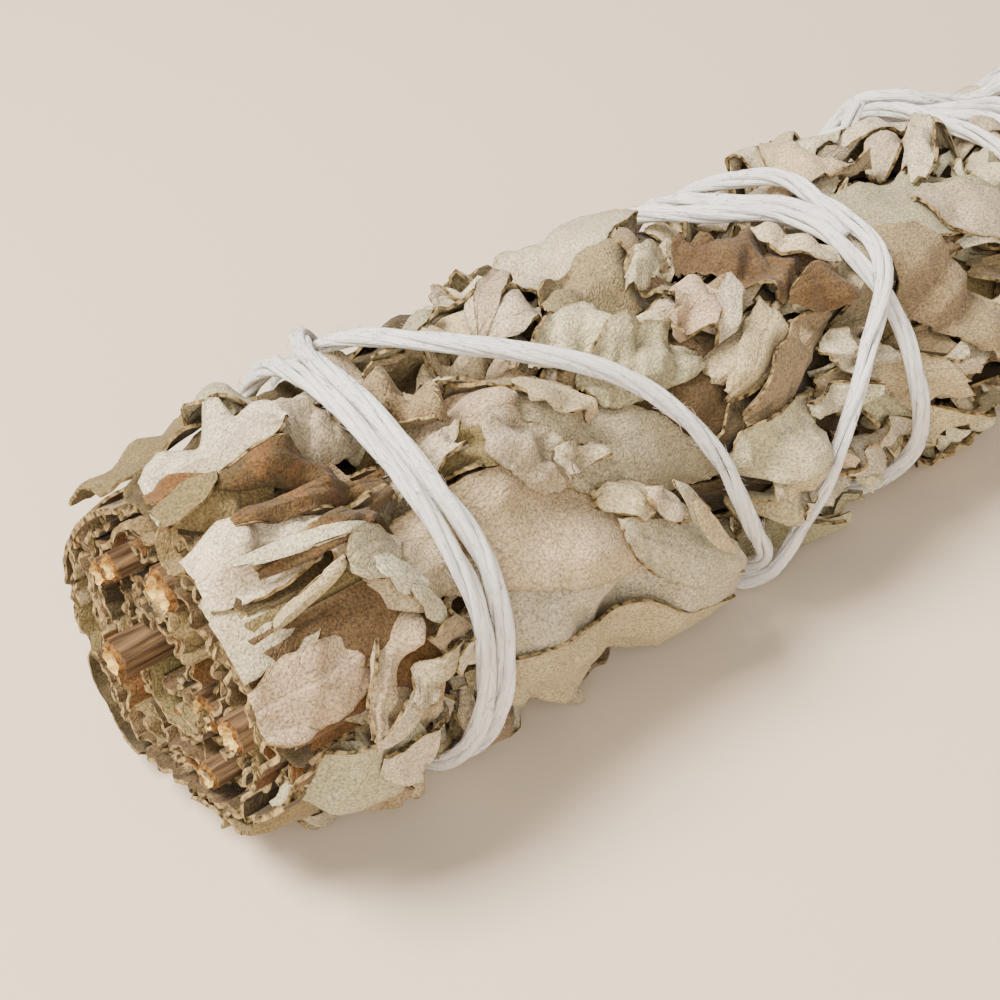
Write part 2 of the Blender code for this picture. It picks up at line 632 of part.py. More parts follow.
def eased(values):
    """The values' highest within two steps, then smoothed over as many, so that it never dips under."""
    wide = np.pad(values, 2, mode="edge")
    highest = np.max([wide[i:i + len(values)] for i in range(5)], axis=0)
    wide = np.pad(highest, 2, mode="edge")
    return np.mean([wide[i:i + len(values)] for i in range(5)], axis=0)


def string_path(trees, route):
    """The points that the string's centre follows, from its tucked start to its free stub."""
    path = to_space(route[:, 0], route[:, 1], string_radii(trees, route))
    path = np.vstack([path[:-END_POINTS:STRING_STEP], path[-END_POINTS::END_STEP]])
    onward = (path[-1] - path[-2]) / np.linalg.norm(path[-1] - path[-2])
    outward = path[-1] * (0.0, 1.0, 1.0) / np.linalg.norm(path[-1][1:])
    leaning = outward + STUB_LEAN * onward
    stub = [path[-1] + leaning * lift for lift in (0.5 * STUB_HEIGHT, STUB_HEIGHT)]
    return np.vstack([path, stub])


def string_tube(name, path, extra=0.0):
    return tube(name, path, np.full(len(path), STRING_DIAMETER / 2 + extra), STRING_SIDES, "cotton")


def lay_bundle(layers, rng):
    """Lays every leaf in order: the cover rows, the large leaves that show, then the brown ones."""
    sage = []
    for row, (x, count, length, width) in enumerate(COVER_ROWS):
        for number in range(count):
            angle = 360.0 * (number + 0.5 * (row % 2)) / count + rng.uniform(-8, 8)
            loose = 0.5 if row == 0 else 1.0
            place = x + rng.uniform(-3, 3) * loose
            turn = rng.uniform(-22, 22) * loose
            if x < SHOWN_LENGTH and 0 < (angle - SHOWN_START) % 360 < SHOWN_WIDTH:
                continue
            leaf = (place, angle, turn, length, width, COVER_RIB, COVER_CURL)
            sage.append(lay_leaf(layers, leaf, rng, "far" if row == 0 else "base"))
    for leaf in FEATURE_LEAVES:
        sage.append(lay_leaf(layers, leaf, rng, "far" if leaf[0] < CORE_START else "base"))
    brown = [lay_leaf(layers, BROWN_LEAVES[0], rng, "none")]
    brown += [lay_leaf(layers, leaf, rng, "far") for leaf in BROWN_LEAVES[1:]]
    layers.settle(SETTLE_PASSES)
    return [
        [to_space(x, angle, layers.radius(x, angle, height)) for x, angle, height in group]
        for group in (sage, brown)
    ]


def brown_leaves(grids):
    """The brown leaves, joined where their far ends meet."""
    first, *others = [blade(f"brown_{number}", grid, "brown_leaf") for number, grid in enumerate(grids)]
    first.name = "brown_leaves"
    combine(first, others, "UNION")
    keep_largest_body(first)
    return first


def leaf_bundle(layers, sage, brown, rng):
    """All the sage leaves and their core in one body, with room for the stems and the brown leaves."""
    bundle = core(layers)
    grids = sage + inner_leaves(rng, FRONT_EDGE, CORE_START + INNER_OVERLAP, True)
    grids += inner_leaves(rng, TIP_EDGE, CORE_END - INNER_OVERLAP, False)
    blades = [blade(f"sage_{number}", grid, "sage_leaf") for number, grid in enumerate(grids)]
    combine(bundle, blades, "UNION")
    keep_largest_body(bundle)
    room = [stem(f"hole_{number}", number, CLEARANCE) for number in range(len(STEMS))]
    thick = BLADE_THICKNESS + 3 * CLEARANCE
    for number, grid in enumerate(brown):
        room.append(blade(f"room_{number}", grid, "brown_leaf", thick, 2 * CLEARANCE))
    combine(bundle, room, "DIFFERENCE")
    combine(bundle, trimming_boxes(), "DIFFERENCE")
    keep_largest_body(bundle)
    return bundle


def trimming_boxes():
    """What cuts the front end straight, the tips to length, and the small flat that the stick rests on."""
    wide = 2 * FRONT_RADIUS
    floor = REST_CUT + REST_DEPTH - FRONT_RADIUS
    rest = box("rest", (-wide, -wide, -2 * wide), (LENGTH + wide, wide, floor))
    rest.data.transform(LEAN.inverted())
    front = box("front", (-wide, -wide, -wide), (0.0, wide, wide))
    front.data.transform(Matrix.Translation((FRONT_EDGE * MM, 0, 0)) @ FRONT_TURN @ FRONT_TILT)
    tip = box("tip", (LENGTH, -wide, -wide), (LENGTH + wide, wide, wide))
    return [rest, front, tip]


def stand(nodes):
    """Lays the stick level on z = 0 with the origin under its middle, and shades its round faces smooth."""
    for node in nodes:
        node.data.transform(LEAN)
    corners = np.array([corner.co for node in nodes for corner in node.data.vertices])
    low, high = corners.min(axis=0), corners.max(axis=0)
    shift = Matrix.Translation((-(low[0] + high[0]) / 2, -(low[1] + high[1]) / 2, -low[2]))
    for node in nodes:
        node.data.transform(shift)
        node.data.shade_smooth()
        node.data.set_sharp_from_angle(angle=math.radians(35))


def build():
    clear_scene()
    rng = np.random.default_rng(SEED)
    layers = Layers()
    route = smooth_route(STRING_ROUTE, ROUTE_STEP)
    layers.press(route)
    sage, brown = lay_bundle(layers, rng)
    nodes = [leaf_bundle(layers, sage, brown, rng), brown_leaves(brown)]
    trees = [BVHTree.FromObject(node, bpy.context.evaluated_depsgraph_get()) for node in nodes]
    path = string_path(trees, route)
    for node in nodes:
        combine(node, [string_tube("room", path, CLEARANCE / 3)], "DIFFERENCE")
        keep_largest_body(node)
    nodes.append(string_tube("cotton_string", path))
    nodes += [stem(f"woody_stem_{number + 1}", number) for number in range(len(STEMS))]
    stand(nodes)


if __name__ == "__main__":
    build()
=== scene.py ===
import math

import bmesh
import bpy
import numpy as np
from mathutils import Matrix, Vector


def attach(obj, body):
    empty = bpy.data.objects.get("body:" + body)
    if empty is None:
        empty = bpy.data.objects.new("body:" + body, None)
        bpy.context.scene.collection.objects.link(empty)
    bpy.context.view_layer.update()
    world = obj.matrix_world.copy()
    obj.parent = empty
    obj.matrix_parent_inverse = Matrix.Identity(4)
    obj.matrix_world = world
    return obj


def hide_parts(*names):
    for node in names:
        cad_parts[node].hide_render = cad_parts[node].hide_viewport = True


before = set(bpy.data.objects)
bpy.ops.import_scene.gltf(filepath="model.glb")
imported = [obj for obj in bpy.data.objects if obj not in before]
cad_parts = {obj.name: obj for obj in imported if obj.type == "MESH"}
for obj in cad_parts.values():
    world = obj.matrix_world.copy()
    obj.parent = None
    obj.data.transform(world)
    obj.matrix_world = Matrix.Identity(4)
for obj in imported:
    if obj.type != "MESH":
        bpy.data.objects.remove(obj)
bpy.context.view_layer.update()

# Camera
# Every piece is laid out along the stick's own axis, in millimetres from the cut end, and then leans by
# the stick's taper so that its underside lies level. The camera was fitted in that same layout.
MM = 0.001
TAPER = 0.0207
STAND_PLACE = Vector((-70.2073, 0.0474, 15.45))
STAND = Matrix.Translation(STAND_PLACE * MM) @ Matrix.Rotation(math.atan(TAPER), 4, "Y")
VIEW_TURN = math.radians(42.01)
VIEW_FALL = math.radians(36.31)
VIEW_DISTANCE = 133.34
FOCAL_PIXELS = 1899.75
IMAGE_PIXELS = 1000
SENSOR_WIDTH = 36.0
NEAREST = 0.01
AIM = Vector((4.0, 0.0, 0.0))
AIM_PIXEL = (188.2, 650.2)


def new_object(name, data):
    """An object in the scene that shows this camera, lamp or mesh."""
    made = bpy.data.objects.new(name, data)
    bpy.context.scene.collection.objects.link(made)
    return made


forward = Vector((
    math.sin(VIEW_TURN) * math.cos(VIEW_FALL),
    math.cos(VIEW_TURN) * math.cos(VIEW_FALL),
    -math.sin(VIEW_FALL),
))
rightward = Vector((math.cos(VIEW_TURN), -math.sin(VIEW_TURN), 0.0))
upward = rightward.cross(forward)
eye = AIM - forward * VIEW_DISTANCE
eye -= rightward * ((AIM_PIXEL[0] - IMAGE_PIXELS / 2) * VIEW_DISTANCE / FOCAL_PIXELS)
eye -= upward * ((IMAGE_PIXELS / 2 - AIM_PIXEL[1]) * VIEW_DISTANCE / FOCAL_PIXELS)
camera_data = bpy.data.cameras.new("camera")
camera_data.sensor_width = SENSOR_WIDTH
camera_data.lens = FOCAL_PIXELS * SENSOR_WIDTH / IMAGE_PIXELS
camera_data.clip_start = NEAREST
camera = new_object("camera", camera_data)
turned = Matrix((rightward, upward, -forward)).transposed().to_4x4()
camera.matrix_world = STAND @ Matrix.Translation(eye * MM) @ turned
bpy.context.scene.camera = camera

# Floor and studio light
# A plain pale board, lit by a large soft lamp above the far left, with a weaker one on the near side.
FLOOR_SIZE = 3.0
LAMP_COLOUR = (1.0, 0.93, 0.84)
LAMP_AIM = Vector((-0.03, 0.0, 0.015))
WORLD_COLOUR = (1.0, 0.97, 0.93, 1.0)
WORLD_STRENGTH = 0.3


def hex_colour(code):
    """An sRGB hex colour as linear red, green, blue and alpha."""
    parts = [int(code[i:i + 2], 16) / 255 for i in (1, 3, 5)]
    return [p / 12.92 if p <= 0.04045 else ((p + 0.055) / 1.055) ** 2.4 for p in parts] + [1.0]


def add_node(tree, kind, links=None, **settings):
    """Adds a shader node with its links. Settings named in_N are for input N, others for the node."""
    node = tree.nodes.new("ShaderNode" + kind)
    for name, value in settings.items():
        if name.startswith("in_"):
            node.inputs[int(name[3:])].default_value = value
        else:
            setattr(node, name, value)
    for socket, source in (links or {}).items():
        tree.links.new(source, node.inputs[socket])
    return node


def new_material(name, roughness, sheen=0.0):
    """A material whose only nodes are its shader and output."""
    made = bpy.data.materials.new(name)
    made.use_nodes = True
    shader = made.node_tree.nodes["Principled BSDF"]
    shader.inputs["Roughness"].default_value = roughness
    shader.inputs["Sheen Weight"].default_value = sheen
    shader.inputs["Specular IOR Level"].default_value = 0.25
    return made, made.node_tree, shader


def clear_selection():
    """Deselects everything, because an operator acts on all that is selected."""
    bpy.ops.object.select_all(action="DESELECT")


clear_selection()
bpy.ops.mesh.primitive_plane_add(size=FLOOR_SIZE, location=(0.0, 0.0, 0.0))
floor = bpy.context.active_object
floor.name = "floor"
# Matt painted board: an even pale surface without gloss.
board, tree, shader = new_material("matt_pale_board", 0.9)
shader.inputs["Base Color"].default_value = hex_colour("#dfcfb9")
floor.data.materials.append(board)

for name, place, size, power in (
    ("key_lamp", (-0.38, 0.16, 0.62), 0.32, 15.0),
    ("near_fill", (-0.45, -0.50, 0.42), 0.50, 5.6),
):
    lamp_data = bpy.data.lights.new(name, "AREA")
    lamp_data.size = size
    lamp_data.energy = power
    lamp_data.color = LAMP_COLOUR
    lamp = new_object(name, lamp_data)
    lamp.location = place
    lamp.rotation_euler = (LAMP_AIM - Vector(place)).to_track_quat("-Z", "Y").to_euler()
world = bpy.data.worlds.new("studio")
bpy.context.scene.world = world
world.use_nodes = True
world.node_tree.nodes["Background"].inputs["Color"].default_value = WORLD_COLOUR
world.node_tree.nodes["Background"].inputs["Strength"].default_value = WORLD_STRENGTH

# String route
# The string's route comes before the leaves because it presses a groove into them. It is x in millimetres
# and the degrees turned through, from its tucked start, down to the cut end, up to the tip and back.
STRING_ROUTE = (
    (65.5, 5066), (65.4, 5059), (65.1, 5051), (64.3, 5044), (63, 5039), (61.3, 5032), (60.2, 5022),
    (59.7, 5010), (60.2, 4990), (63, 4940), (66.6, 4860), (68, 4797), (67.5, 4783), (66.5, 4768),
    (65.8, 4757), (65.4, 4747), (65.2, 4738), (65, 4729), (64.7, 4720), (64.3, 4710), (64, 4701),
    (63.4, 4693), (62.8, 4687), (61.6, 4682.5), (59.6, 4677), (57.8, 4670), (56.7, 4662), (56, 4648),
    (55, 4620), (54, 4560), (53.3, 4500), (51.6, 4450), (47.4, 4424), (44.8, 4406), (43, 4390),
    (41.1, 4376), (39.4, 4366), (37.4, 4356), (34.8, 4347), (32, 4339), (29.6, 4331), (27.2, 4322),
    (25.2, 4311), (24.1, 4298), (23.5, 4280), (22.6, 4240), (20.5, 4180), (18.7, 4130), (18.3, 4085),
    (18.3, 4063), (18.1, 4040), (17.8, 4027), (17.1, 4013), (16.5, 3998), (16.2, 3983), (16.3, 3969),
    (16.6, 3956), (17.4, 3942), (18.7, 3924), (19.5, 3895), (19.8, 3850), (19.9, 3780), (20.1, 3731),
    (20.2, 3711), (20.1, 3690), (19.8, 3671), (19.4, 3658), (18.8, 3648), (18.2, 3639), (17.9, 3627),
    (17.9, 3614), (18.2, 3601), (19.2, 3587), (22.3, 3564), (27.5, 3540), (36, 3500), (45, 3440),
    (50.5, 3392), (53.6, 3364), (54.6, 3348), (55.3, 3337), (56, 3328), (57.1, 3319), (58.7, 3311),
    (60.4, 3303), (62.1, 3296), (63.6, 3289), (65, 3282), (66.1, 3275), (66.8, 3267), (67.1, 3259),
    (67.3, 3251), (67.8, 3241), (68.3, 3232), (68, 3224), (66.4, 3216), (64.9, 3204), (65.1, 3188),
    (67, 3170), (72, 3145), (82, 3060), (93, 2970), (101.5, 2880), (104.5, 2850), (107, 2750),
    (109, 2590), (113.5, 2400), (118.5, 2240), (120.5, 2100), (117.5, 1960), (112, 1800),
    (107, 1620), (103, 1440), (100, 1310), (98.6, 1200), (97.8, 1105), (96.3, 1078), (93.8, 1071),
    (91.8, 1063), (91, 1045), (91.6, 950), (93.2, 800), (92.6, 732), (91.3, 720), (89.5, 713),
    (88.7, 695), (88.8, 600), (88.6, 470), (88.4, 381), (87.9, 362), (87.5, 340), (89, 308),
    (95.5, 240), (102.5, 150), (104.5, 60), (103.5, 8), (101.3, -6), (98.3, -17), (95, -26),
    (92.4, -29), (90.4, -35), (88.6, -43), (86, -51), (82.9, -54), (81.2, -48), (81.8, -40),
    (83.6, -31),
)
LENGTH = 140.0
FRONT_RADIUS = 16.6
ROUTE_STEP = 1.0
CURVE_STEPS = 40
# The maps of the bundle's surface have a cell every CELL along the stick, and TURN_CELLS in a turn.
CELL = 0.35
TURN_CELLS = 300
GROOVE_WIDTH = 3.6
GROOVE_DEPTH = 0.9
GROOVE_DEEPER_UNDER = 1.6
groove_map = np.zeros((int(LENGTH / CELL) + 1, TURN_CELLS))
reach = int(2 * GROOVE_WIDTH / CELL)
offsets = np.arange(-reach, reach + 1)
dent = np.exp(-(np.hypot(offsets[:, None], offsets[None, :]) * CELL / GROOVE_WIDTH) ** 2)


def cells_at(x, angle):
    """The row and the column of a map at each place."""
    along = np.clip(np.rint(x / CELL).astype(int), 0, len(groove_map) - 1)
    return along, np.rint(angle * TURN_CELLS / (2 * math.pi)).astype(int) % TURN_CELLS


def press_groove(place, depth):
    """Presses the groove map in round a place, given as x and angle, that deep at its middle."""
    row, column = cells_at(*place)
    spot = np.ix_(np.clip(row + offsets, 0, len(groove_map) - 1), (column + offsets) % TURN_CELLS)
    groove_map[spot] = np.maximum(groove_map[spot], depth * dent)


route = np.array(STRING_ROUTE, float)
route[:, 1] = np.radians(route[:, 1])
route = np.vstack([2 * route[0] - route[1], route, 2 * route[-1] - route[-2]])
t = np.linspace(0.0, 1.0, CURVE_STEPS, endpoint=False)[:, None]
spans = []
for a, b, c, d in zip(route, route[1:], route[2:], route[3:]):
    bend, twist = 2 * a - 5 * b + 4 * c - d, 3 * b - a - 3 * c + d
    spans.append(0.5 * (2 * b + (c - a) * t + bend * t**2 + twist * t**3))
curve = np.vstack(spans)
run = np.hypot(np.diff(curve[:, 0]), np.diff(curve[:, 1]) * FRONT_RADIUS)
run = np.concatenate([[0.0], np.cumsum(run)])
stations = np.arange(0.0, run[-1], ROUTE_STEP)
route = np.stack([np.interp(stations, run, curve[:, k]) for k in (0, 1)], axis=1)
for place in route:
    under = np.clip((-math.cos(place[1]) - 0.7) / 0.2, 0.0, 1.0)
    press_groove(place, GROOVE_DEPTH + GROOVE_DEEPER_UNDER * under)

# White sage leaves
# Salvia apiana leaves dry to stiff, felted blades, grey-beige to olive. They are laid along the stems, and
# crumple, fold and roll where the string binds them. Each is a sheet under half a millimetre thick.
LEAF_THICKNESS = 0.28
LEAF_GAP = 0.06
SMOOTH_ANGLE = math.radians(50)
# The underside lies flattened and pressed on the floor. High spots stand up by no more than TOP_RELIEF,
# and less over the first RELIEF_LENGTH, where the leaves end square.
REST_DEPTH = 0.8
REST_CUT = 0.35
FLOOR_GAP = 0.05
TOP_SINK = 0.2
TOP_RELIEF = 2.0
RELIEF_LENGTH = 10.0
LEAST_RELIEF = 0.35
# The top and the underside draw in towards the cut end, each most at its own angle in radians. The far
# side of the top is a little lower, the wraps near the tip pull the bundle in, and then it narrows.
END_LENGTH = 14.0
TOP_NARROWING, TOP_TURN = 4.2, 0.3
LOW_NARROWING, LOW_TURN = 5.0, 2.88
BACK_NARROWING, BACK_TURN, BACK_START, BACK_LENGTH = 0.8, 0.7, 20.0, 20.0
WRAP_NARROWING, WRAP_START, WRAP_LENGTH = 1.2, 84.0, 14.0
TIP_NARROWING, TIP_START = 3.5, 118.0
# Leaf tints. "shade" is painted shade: a near-black brown for leaves that show only down in the gaps and
# hollows, where the shade falls.
TINTS = {
    "pale": "#c9bc9c", "white": "#d2c6a9", "beige": "#c0ad89", "pink": "#bea788", "sage": "#b0a486",
    "green": "#a0987a", "olive": "#82714a", "taupe": "#968262", "brown": "#5f4a2f", "rust": "#6c4822",
    "shade": "#43361f",
}
# x, angle, turn, length, width, raised midrib, curled edge, roll, crumple, tint, from the bottom layer up.
LARGE_LEAVES = (
    (31, 97, 20, 31, 8, 0.2, 0.4, 0.1, 0.1, "pale"),
    (32, 112, 14, 27, 9, 0.3, 0.3, 0.1, 0.1, "beige"),
    (10, 86, 38, 14, 5, 0.6, 0.5, 0.35, 0.2, "beige"),
    (6.5, 99, -18, 11, 6.5, 0.3, 0.6, 0.2, 0.35, "sage"),
    (13, 104, 28, 12, 4.5, 0.4, 0.7, 0.35, 0.25, "pale"),
    (41, -19, 0, 22, 9, 0.5, 0.8, 0.25, 0.2, "pale"),
    (14.5, -17, 35, 11, 8, 0.3, 0.6, 0.2, 0.3, "sage"),
    (14.3, 5.5, 18, 8, 5, 0.3, 0.5, 0.3, 0.4, "sage"),
    (8, -3, 28, 10, 7, 0.2, 0.7, 0.15, 0.2, "white"),
    (7, 5, 15, 9, 4.5, 0.5, 0.5, 0.3, 0.2, "pale"),
    (4.8, 17, 8, 9, 6, 0.3, 0.4, 0.1, 0.35, "olive"),
    (25.8, 67.4, 24, 28, 9.5, 0.5, 0.3, 0.05, 0.04, "beige"),
    (35, 55.1, 38, 25, 8.5, 0.6, 0.3, 0.05, 0.06, "sage"),
    (38.4, 88, 34, 16, 4.5, 0.5, 0.5, 0.3, 0.15, "pale"),
    (4.4, 48, -6, 12, 8, 0.3, 0.5, 0.05, 0.1, "pale"),
    (4.6, 31, 12, 12.5, 6, 0.5, 0.8, 0.25, 0.08, "white"),
    (5.2, 69, 0, 12, 6, 0.4, 0.7, 0.2, 0.15, "pink"),
    (10.8, 73, -47, 10.5, 3.6, 0.5, 0.8, 0.6, 0.1, "beige"),
    (15.5, 56.5, 15, 9, 5.5, 0.7, 0.6, 0.4, 0.1, "beige"),
    (11.5, 41, 20, 7, 4, 0.5, 0.5, 0.5, 0.35, "pale"),
    (24.3, 21, 14, 8, 7, 0.5, 0.9, 0.45, 0.15, "pink"),
    (22.5, 33, 22, 8, 4.5, 0.5, 0.6, 0.5, 0.3, "olive"),
    (26.8, 42, 60, 8, 5.5, 0.6, 0.7, 0.5, 0.35, "sage"),
    (29.5, 20, 34, 9, 5, 0.7, 0.8, 0.45, 0.5, "taupe"),
    (44, 3, 4, 13, 7, 0.6, 1, 0.55, 0.15, "taupe"),
    (39.5, 20, 8, 13, 6, 0.5, 0.6, 0.25, 0.25, "pale"),
    (40.5, 35, 14, 12, 6.5, 0.4, 0.7, 0.25, 0.3, "sage"),
    (49, 11, 70, 10, 6, 0.7, 0.9, 0.55, 0.2, "taupe"),
    (51.3, 43, -30, 12, 5.5, 0.8, 0.8, 0.55, 0.12, "beige"),
    (54.5, 55, -17, 15, 6, 0.6, 0.8, 0.3, 0.2, "taupe"),
    (56.5, 16, 48, 12, 7.5, 0.5, 0.7, 0.3, 0.4, "brown"),
    (51.5, 75, -10, 12, 6.5, 0.4, 0.6, 0.25, 0.3, "pale"),
    (74, 21, 28, 20, 9, 0.4, 0.4, 0.1, 0.1, "green"),
    (66.5, 47, 80, 11, 7.5, 0.4, 0.7, 0.25, 0.2, "sage"),
    (72.5, 55, 55, 15, 6.5, 0.7, 0.8, 0.35, 0.25, "taupe"),
    (65.5, 84, 26, 18, 6.5, 0.5, 0.6, 0.25, 0.2, "beige"),
    (79.5, 40, 45, 12, 6.5, 0.5, 0.6, 0.3, 0.3, "sage"),
)
# Narrow rolled strips, knots and scraps that lie on top of the large leaves near the cut end.
SCRAPS = (
    (10.9, 85.5, -8, 7.5, 2.8, 0.2, 0.3, 0.8, 0.1, "pale"),
    (6.4, 47.5, 161, 6, 1.9, 0.2, 0.2, 0.9, 0.05, "beige"),
    (7.4, 36.5, 12, 9, 1.8, 0.2, 0.2, 0.9, 0.05, "white"),
    (11.5, 46, 5, 4.6, 3.6, 0.1, 0.2, 0.15, 0.05, "green"),
    (12.6, 52.5, 40, 4.6, 2.8, 0.3, 0.4, 0.7, 0.3, "white"),
    (14, 63, 55, 4.8, 2.4, 0.3, 0.4, 0.8, 0.3, "pale"),
    (15.6, 74, 35, 5, 3.4, 0.3, 0.6, 0.5, 0.5, "taupe"),
    (13.4, 80, -20, 5.5, 3, 0.3, 0.6, 0.5, 0.4, "sage"),
    (17, 82, 20, 5, 3.4, 0.3, 0.4, 0.5, 0.3, "pale"),
    (1.9, 4, 30, 8, 5, 0.2, 0.3, 0.2, 0.25, "rust"),
    (3.2, 10, 10, 5.5, 3, 0.2, 0.3, 0.3, 0.5, "olive"),
    (19, 9, 50, 6, 4, 0.4, 0.6, 0.5, 0.5, "sage"),
    (21.5, 12, 70, 6.5, 3.6, 0.4, 0.6, 0.5, 0.5, "taupe"),
    (31, 33, 30, 6, 4, 0.4, 0.6, 0.6, 0.5, "beige"),
    (30.5, 48, 20, 5, 3.6, 0.4, 0.5, 0.6, 0.45, "sage"),
    (33.5, 66, 25, 6, 3.4, 0.4, 0.5, 0.6, 0.45, "beige"),
    (36.5, 72, 40, 6.5, 3, 0.4, 0.5, 0.7, 0.35, "pale"),
    (38.8, 78, 60, 7.5, 2.4, 0.2, 0.3, 0.85, 0.1, "pale"),
    (40.4, 84, 55, 8, 2.4, 0.2, 0.3, 0.85, 0.1, "beige"),
    (47.6, 27, 60, 5, 3, 0.3, 0.6, 0.5, 0.6, "pink"),
    (49.4, 31, -50, 5.5, 2.6, 0.3, 0.6, 0.6, 0.4, "white"),
    (45.8, 29, 10, 4, 3, 0.3, 0.6, 0.4, 0.7, "pink"),
    (60.5, 22, 60, 7, 4.5, 0.4, 0.6, 0.3, 0.3, "pale"),
    (60, 40, 20, 7, 4, 0.4, 0.6, 0.4, 0.3, "brown"),
    (57.5, 72, 10, 8, 3.4, 0.4, 0.6, 0.6, 0.25, "pale"),
)
# x, leaves round, length, width of the rows that cover the whole stick.
COVER_ROWS = (
    (10, 8, 18, 12), (26, 7, 24, 13), (42, 7, 24, 13), (58, 7, 24, 13),
    (74, 7, 24, 13), (90, 7, 24, 13), (106, 8, 23, 12), (120, 8, 22, 11),
    (129, 7, 20, 9),
)
SMALL_COUNT = 335
FRONT_EDGE = 2.0
CUT_POINT = Vector((FRONT_EDGE, 0.0, 0.0))
CUT_TURN = Matrix.Rotation(math.radians(-6.0), 3, "Z")
CUT_TILT = Matrix.Rotation(math.radians(2.0), 3, "Y")
CUT_NORMAL = CUT_TURN @ CUT_TILT @ Vector((1, 0, 0))
CUT_RAGGED = 0.06
CUT_REACH = 5.0
# A leaf's own shape. Its outline, rib and curled edge are in shares of half its width, its root and bow in
# shares of its length, and the scallops' length, the curl's height and the folds' sizes in millimetres.
BLUNT_END = 0.16
LEAST_RAGGED, CRUMPLED_RAGGED = 0.08, 0.35
MOST_BOW = 0.06
SCALLOP_DEPTH, SCALLOP_LENGTH = 0.03, 1.3
RIB_WIDTH = 0.16
CURL_START = 0.62
CURL_HEIGHT = 2.0
ROOT_LENGTH = 0.14
FOLDS = 3
FOLD_SIZES = (2.4, 6.0)
height_map = np.zeros_like(groove_map)
rng = np.random.default_rng(11)


def bundle_radius(x, angle):
    """The bundle's outside before single leaves and the string shape it, angle in radians."""
    straight = FRONT_RADIUS - TAPER * x
    radius = straight + 0.4 * np.sin(2 * angle + 0.06 * x) + 0.3 * np.sin(3 * angle - 0.045 * x + 1.0)
    near_cut = np.clip(1.0 - x / END_LENGTH, 0.0, 1.0) ** 1.4
    upper = np.clip(np.cos(angle + TOP_TURN), 0.0, 1.0)
    radius = radius - TOP_NARROWING * upper * near_cut
    lower = np.clip(np.cos(angle - LOW_TURN), 0.0, 1.0)
    radius = radius - LOW_NARROWING * lower**2 * near_cut
    back = np.clip(np.cos(angle + BACK_TURN), 0.0, 1.0)
    radius = radius - BACK_NARROWING * back**2 * np.clip((x - BACK_START) / BACK_LENGTH, 0.0, 1.0)
    wraps = np.clip((x - WRAP_START) / WRAP_LENGTH, 0.0, 1.0)
    radius = radius - WRAP_NARROWING * wraps**2 * (3.0 - 2.0 * wraps)
    radius = radius - TIP_NARROWING * np.clip((x - TIP_START) / (LENGTH - TIP_START), 0.0, 1.2) ** 2
    return np.minimum(radius, (straight - REST_DEPTH) / np.maximum(-np.cos(angle), 0.3))


def to_space(x, angle, radius):
    """Points from x, angle and radius, with the stick's axis along X through the origin."""
    return np.stack([x, -radius * np.sin(angle), radius * np.cos(angle)], axis=-1)


def read_map(grid, x, angle):
    """The map's value at each place, blended between the four cells round it."""
    a = np.clip(x / CELL, 0, len(grid) - 1.001)
    b = (angle * TURN_CELLS / (2 * math.pi)) % TURN_CELLS
    i, j = a.astype(int), b.astype(int) % TURN_CELLS
    p, q = a - i, b - np.floor(b)
    k = (j + 1) % TURN_CELLS
    near = grid[i, j] * (1 - q) + grid[i, k] * q
    return near * (1 - p) + (grid[i + 1, j] * (1 - q) + grid[i + 1, k] * q) * p


def bound_radius(x, angle, height):
    """The radius of a point at that height over the core, once all is bound. High spots are pressed in."""
    excess = height - read_map(level_map, x, angle)
    most = TOP_RELIEF * np.clip(x / RELIEF_LENGTH, LEAST_RELIEF, 1.0)
    excess = np.where(excess > 0.0, most * np.tanh(excess / most), excess)
    return bundle_radius(x, angle) - TOP_SINK - read_map(groove_map, x, angle) + excess


def on_floor(points, thickness):
    """The points, softly pressed up where they would go through the surface that the stick lies on."""
    low = TAPER * points[..., 0] - (FRONT_RADIUS - REST_DEPTH - REST_CUT) + thickness / 2 + FLOOR_GAP
    over = points[..., 2] - low
    points[..., 2] = np.where(over < 1.0, low + np.exp(np.minimum(over, 1.0) - 1.0), points[..., 2])
    return points


def blank_sheet(name, rows, columns):
    """A flat grid that leaves are copied from, with the place of each of its points and corners."""
    clear_selection()
    bpy.ops.mesh.primitive_grid_add(x_subdivisions=columns, y_subdivisions=rows, size=2.0)
    sheet = bpy.context.active_object
    sheet.name = name
    mesh = sheet.data
    flat = np.empty(len(mesh.vertices) * 3)
    mesh.vertices.foreach_get("co", flat)
    flat = flat.reshape(-1, 3)
    v_index = np.unique(np.round(flat[:, 0], 5), return_inverse=True)[1].reshape(-1)
    u_index = np.unique(np.round(flat[:, 1], 5), return_inverse=True)[1].reshape(-1)
    corner = np.empty(len(mesh.loops), int)
    mesh.loops.foreach_get("vertex_index", corner)
    while mesh.uv_layers:
        mesh.uv_layers.remove(mesh.uv_layers[0])
    mesh.uv_layers.new(name="blade")
    mesh.uv_layers.new(name="part")
    mesh.attributes.new("tint", "FLOAT_COLOR", "POINT")
    sheet.users_collection[0].objects.unlink(sheet)
    return {"mesh": mesh, "u": u_index, "v": v_index, "corner": corner,
            "rows": u_index.max(), "columns": v_index.max()}


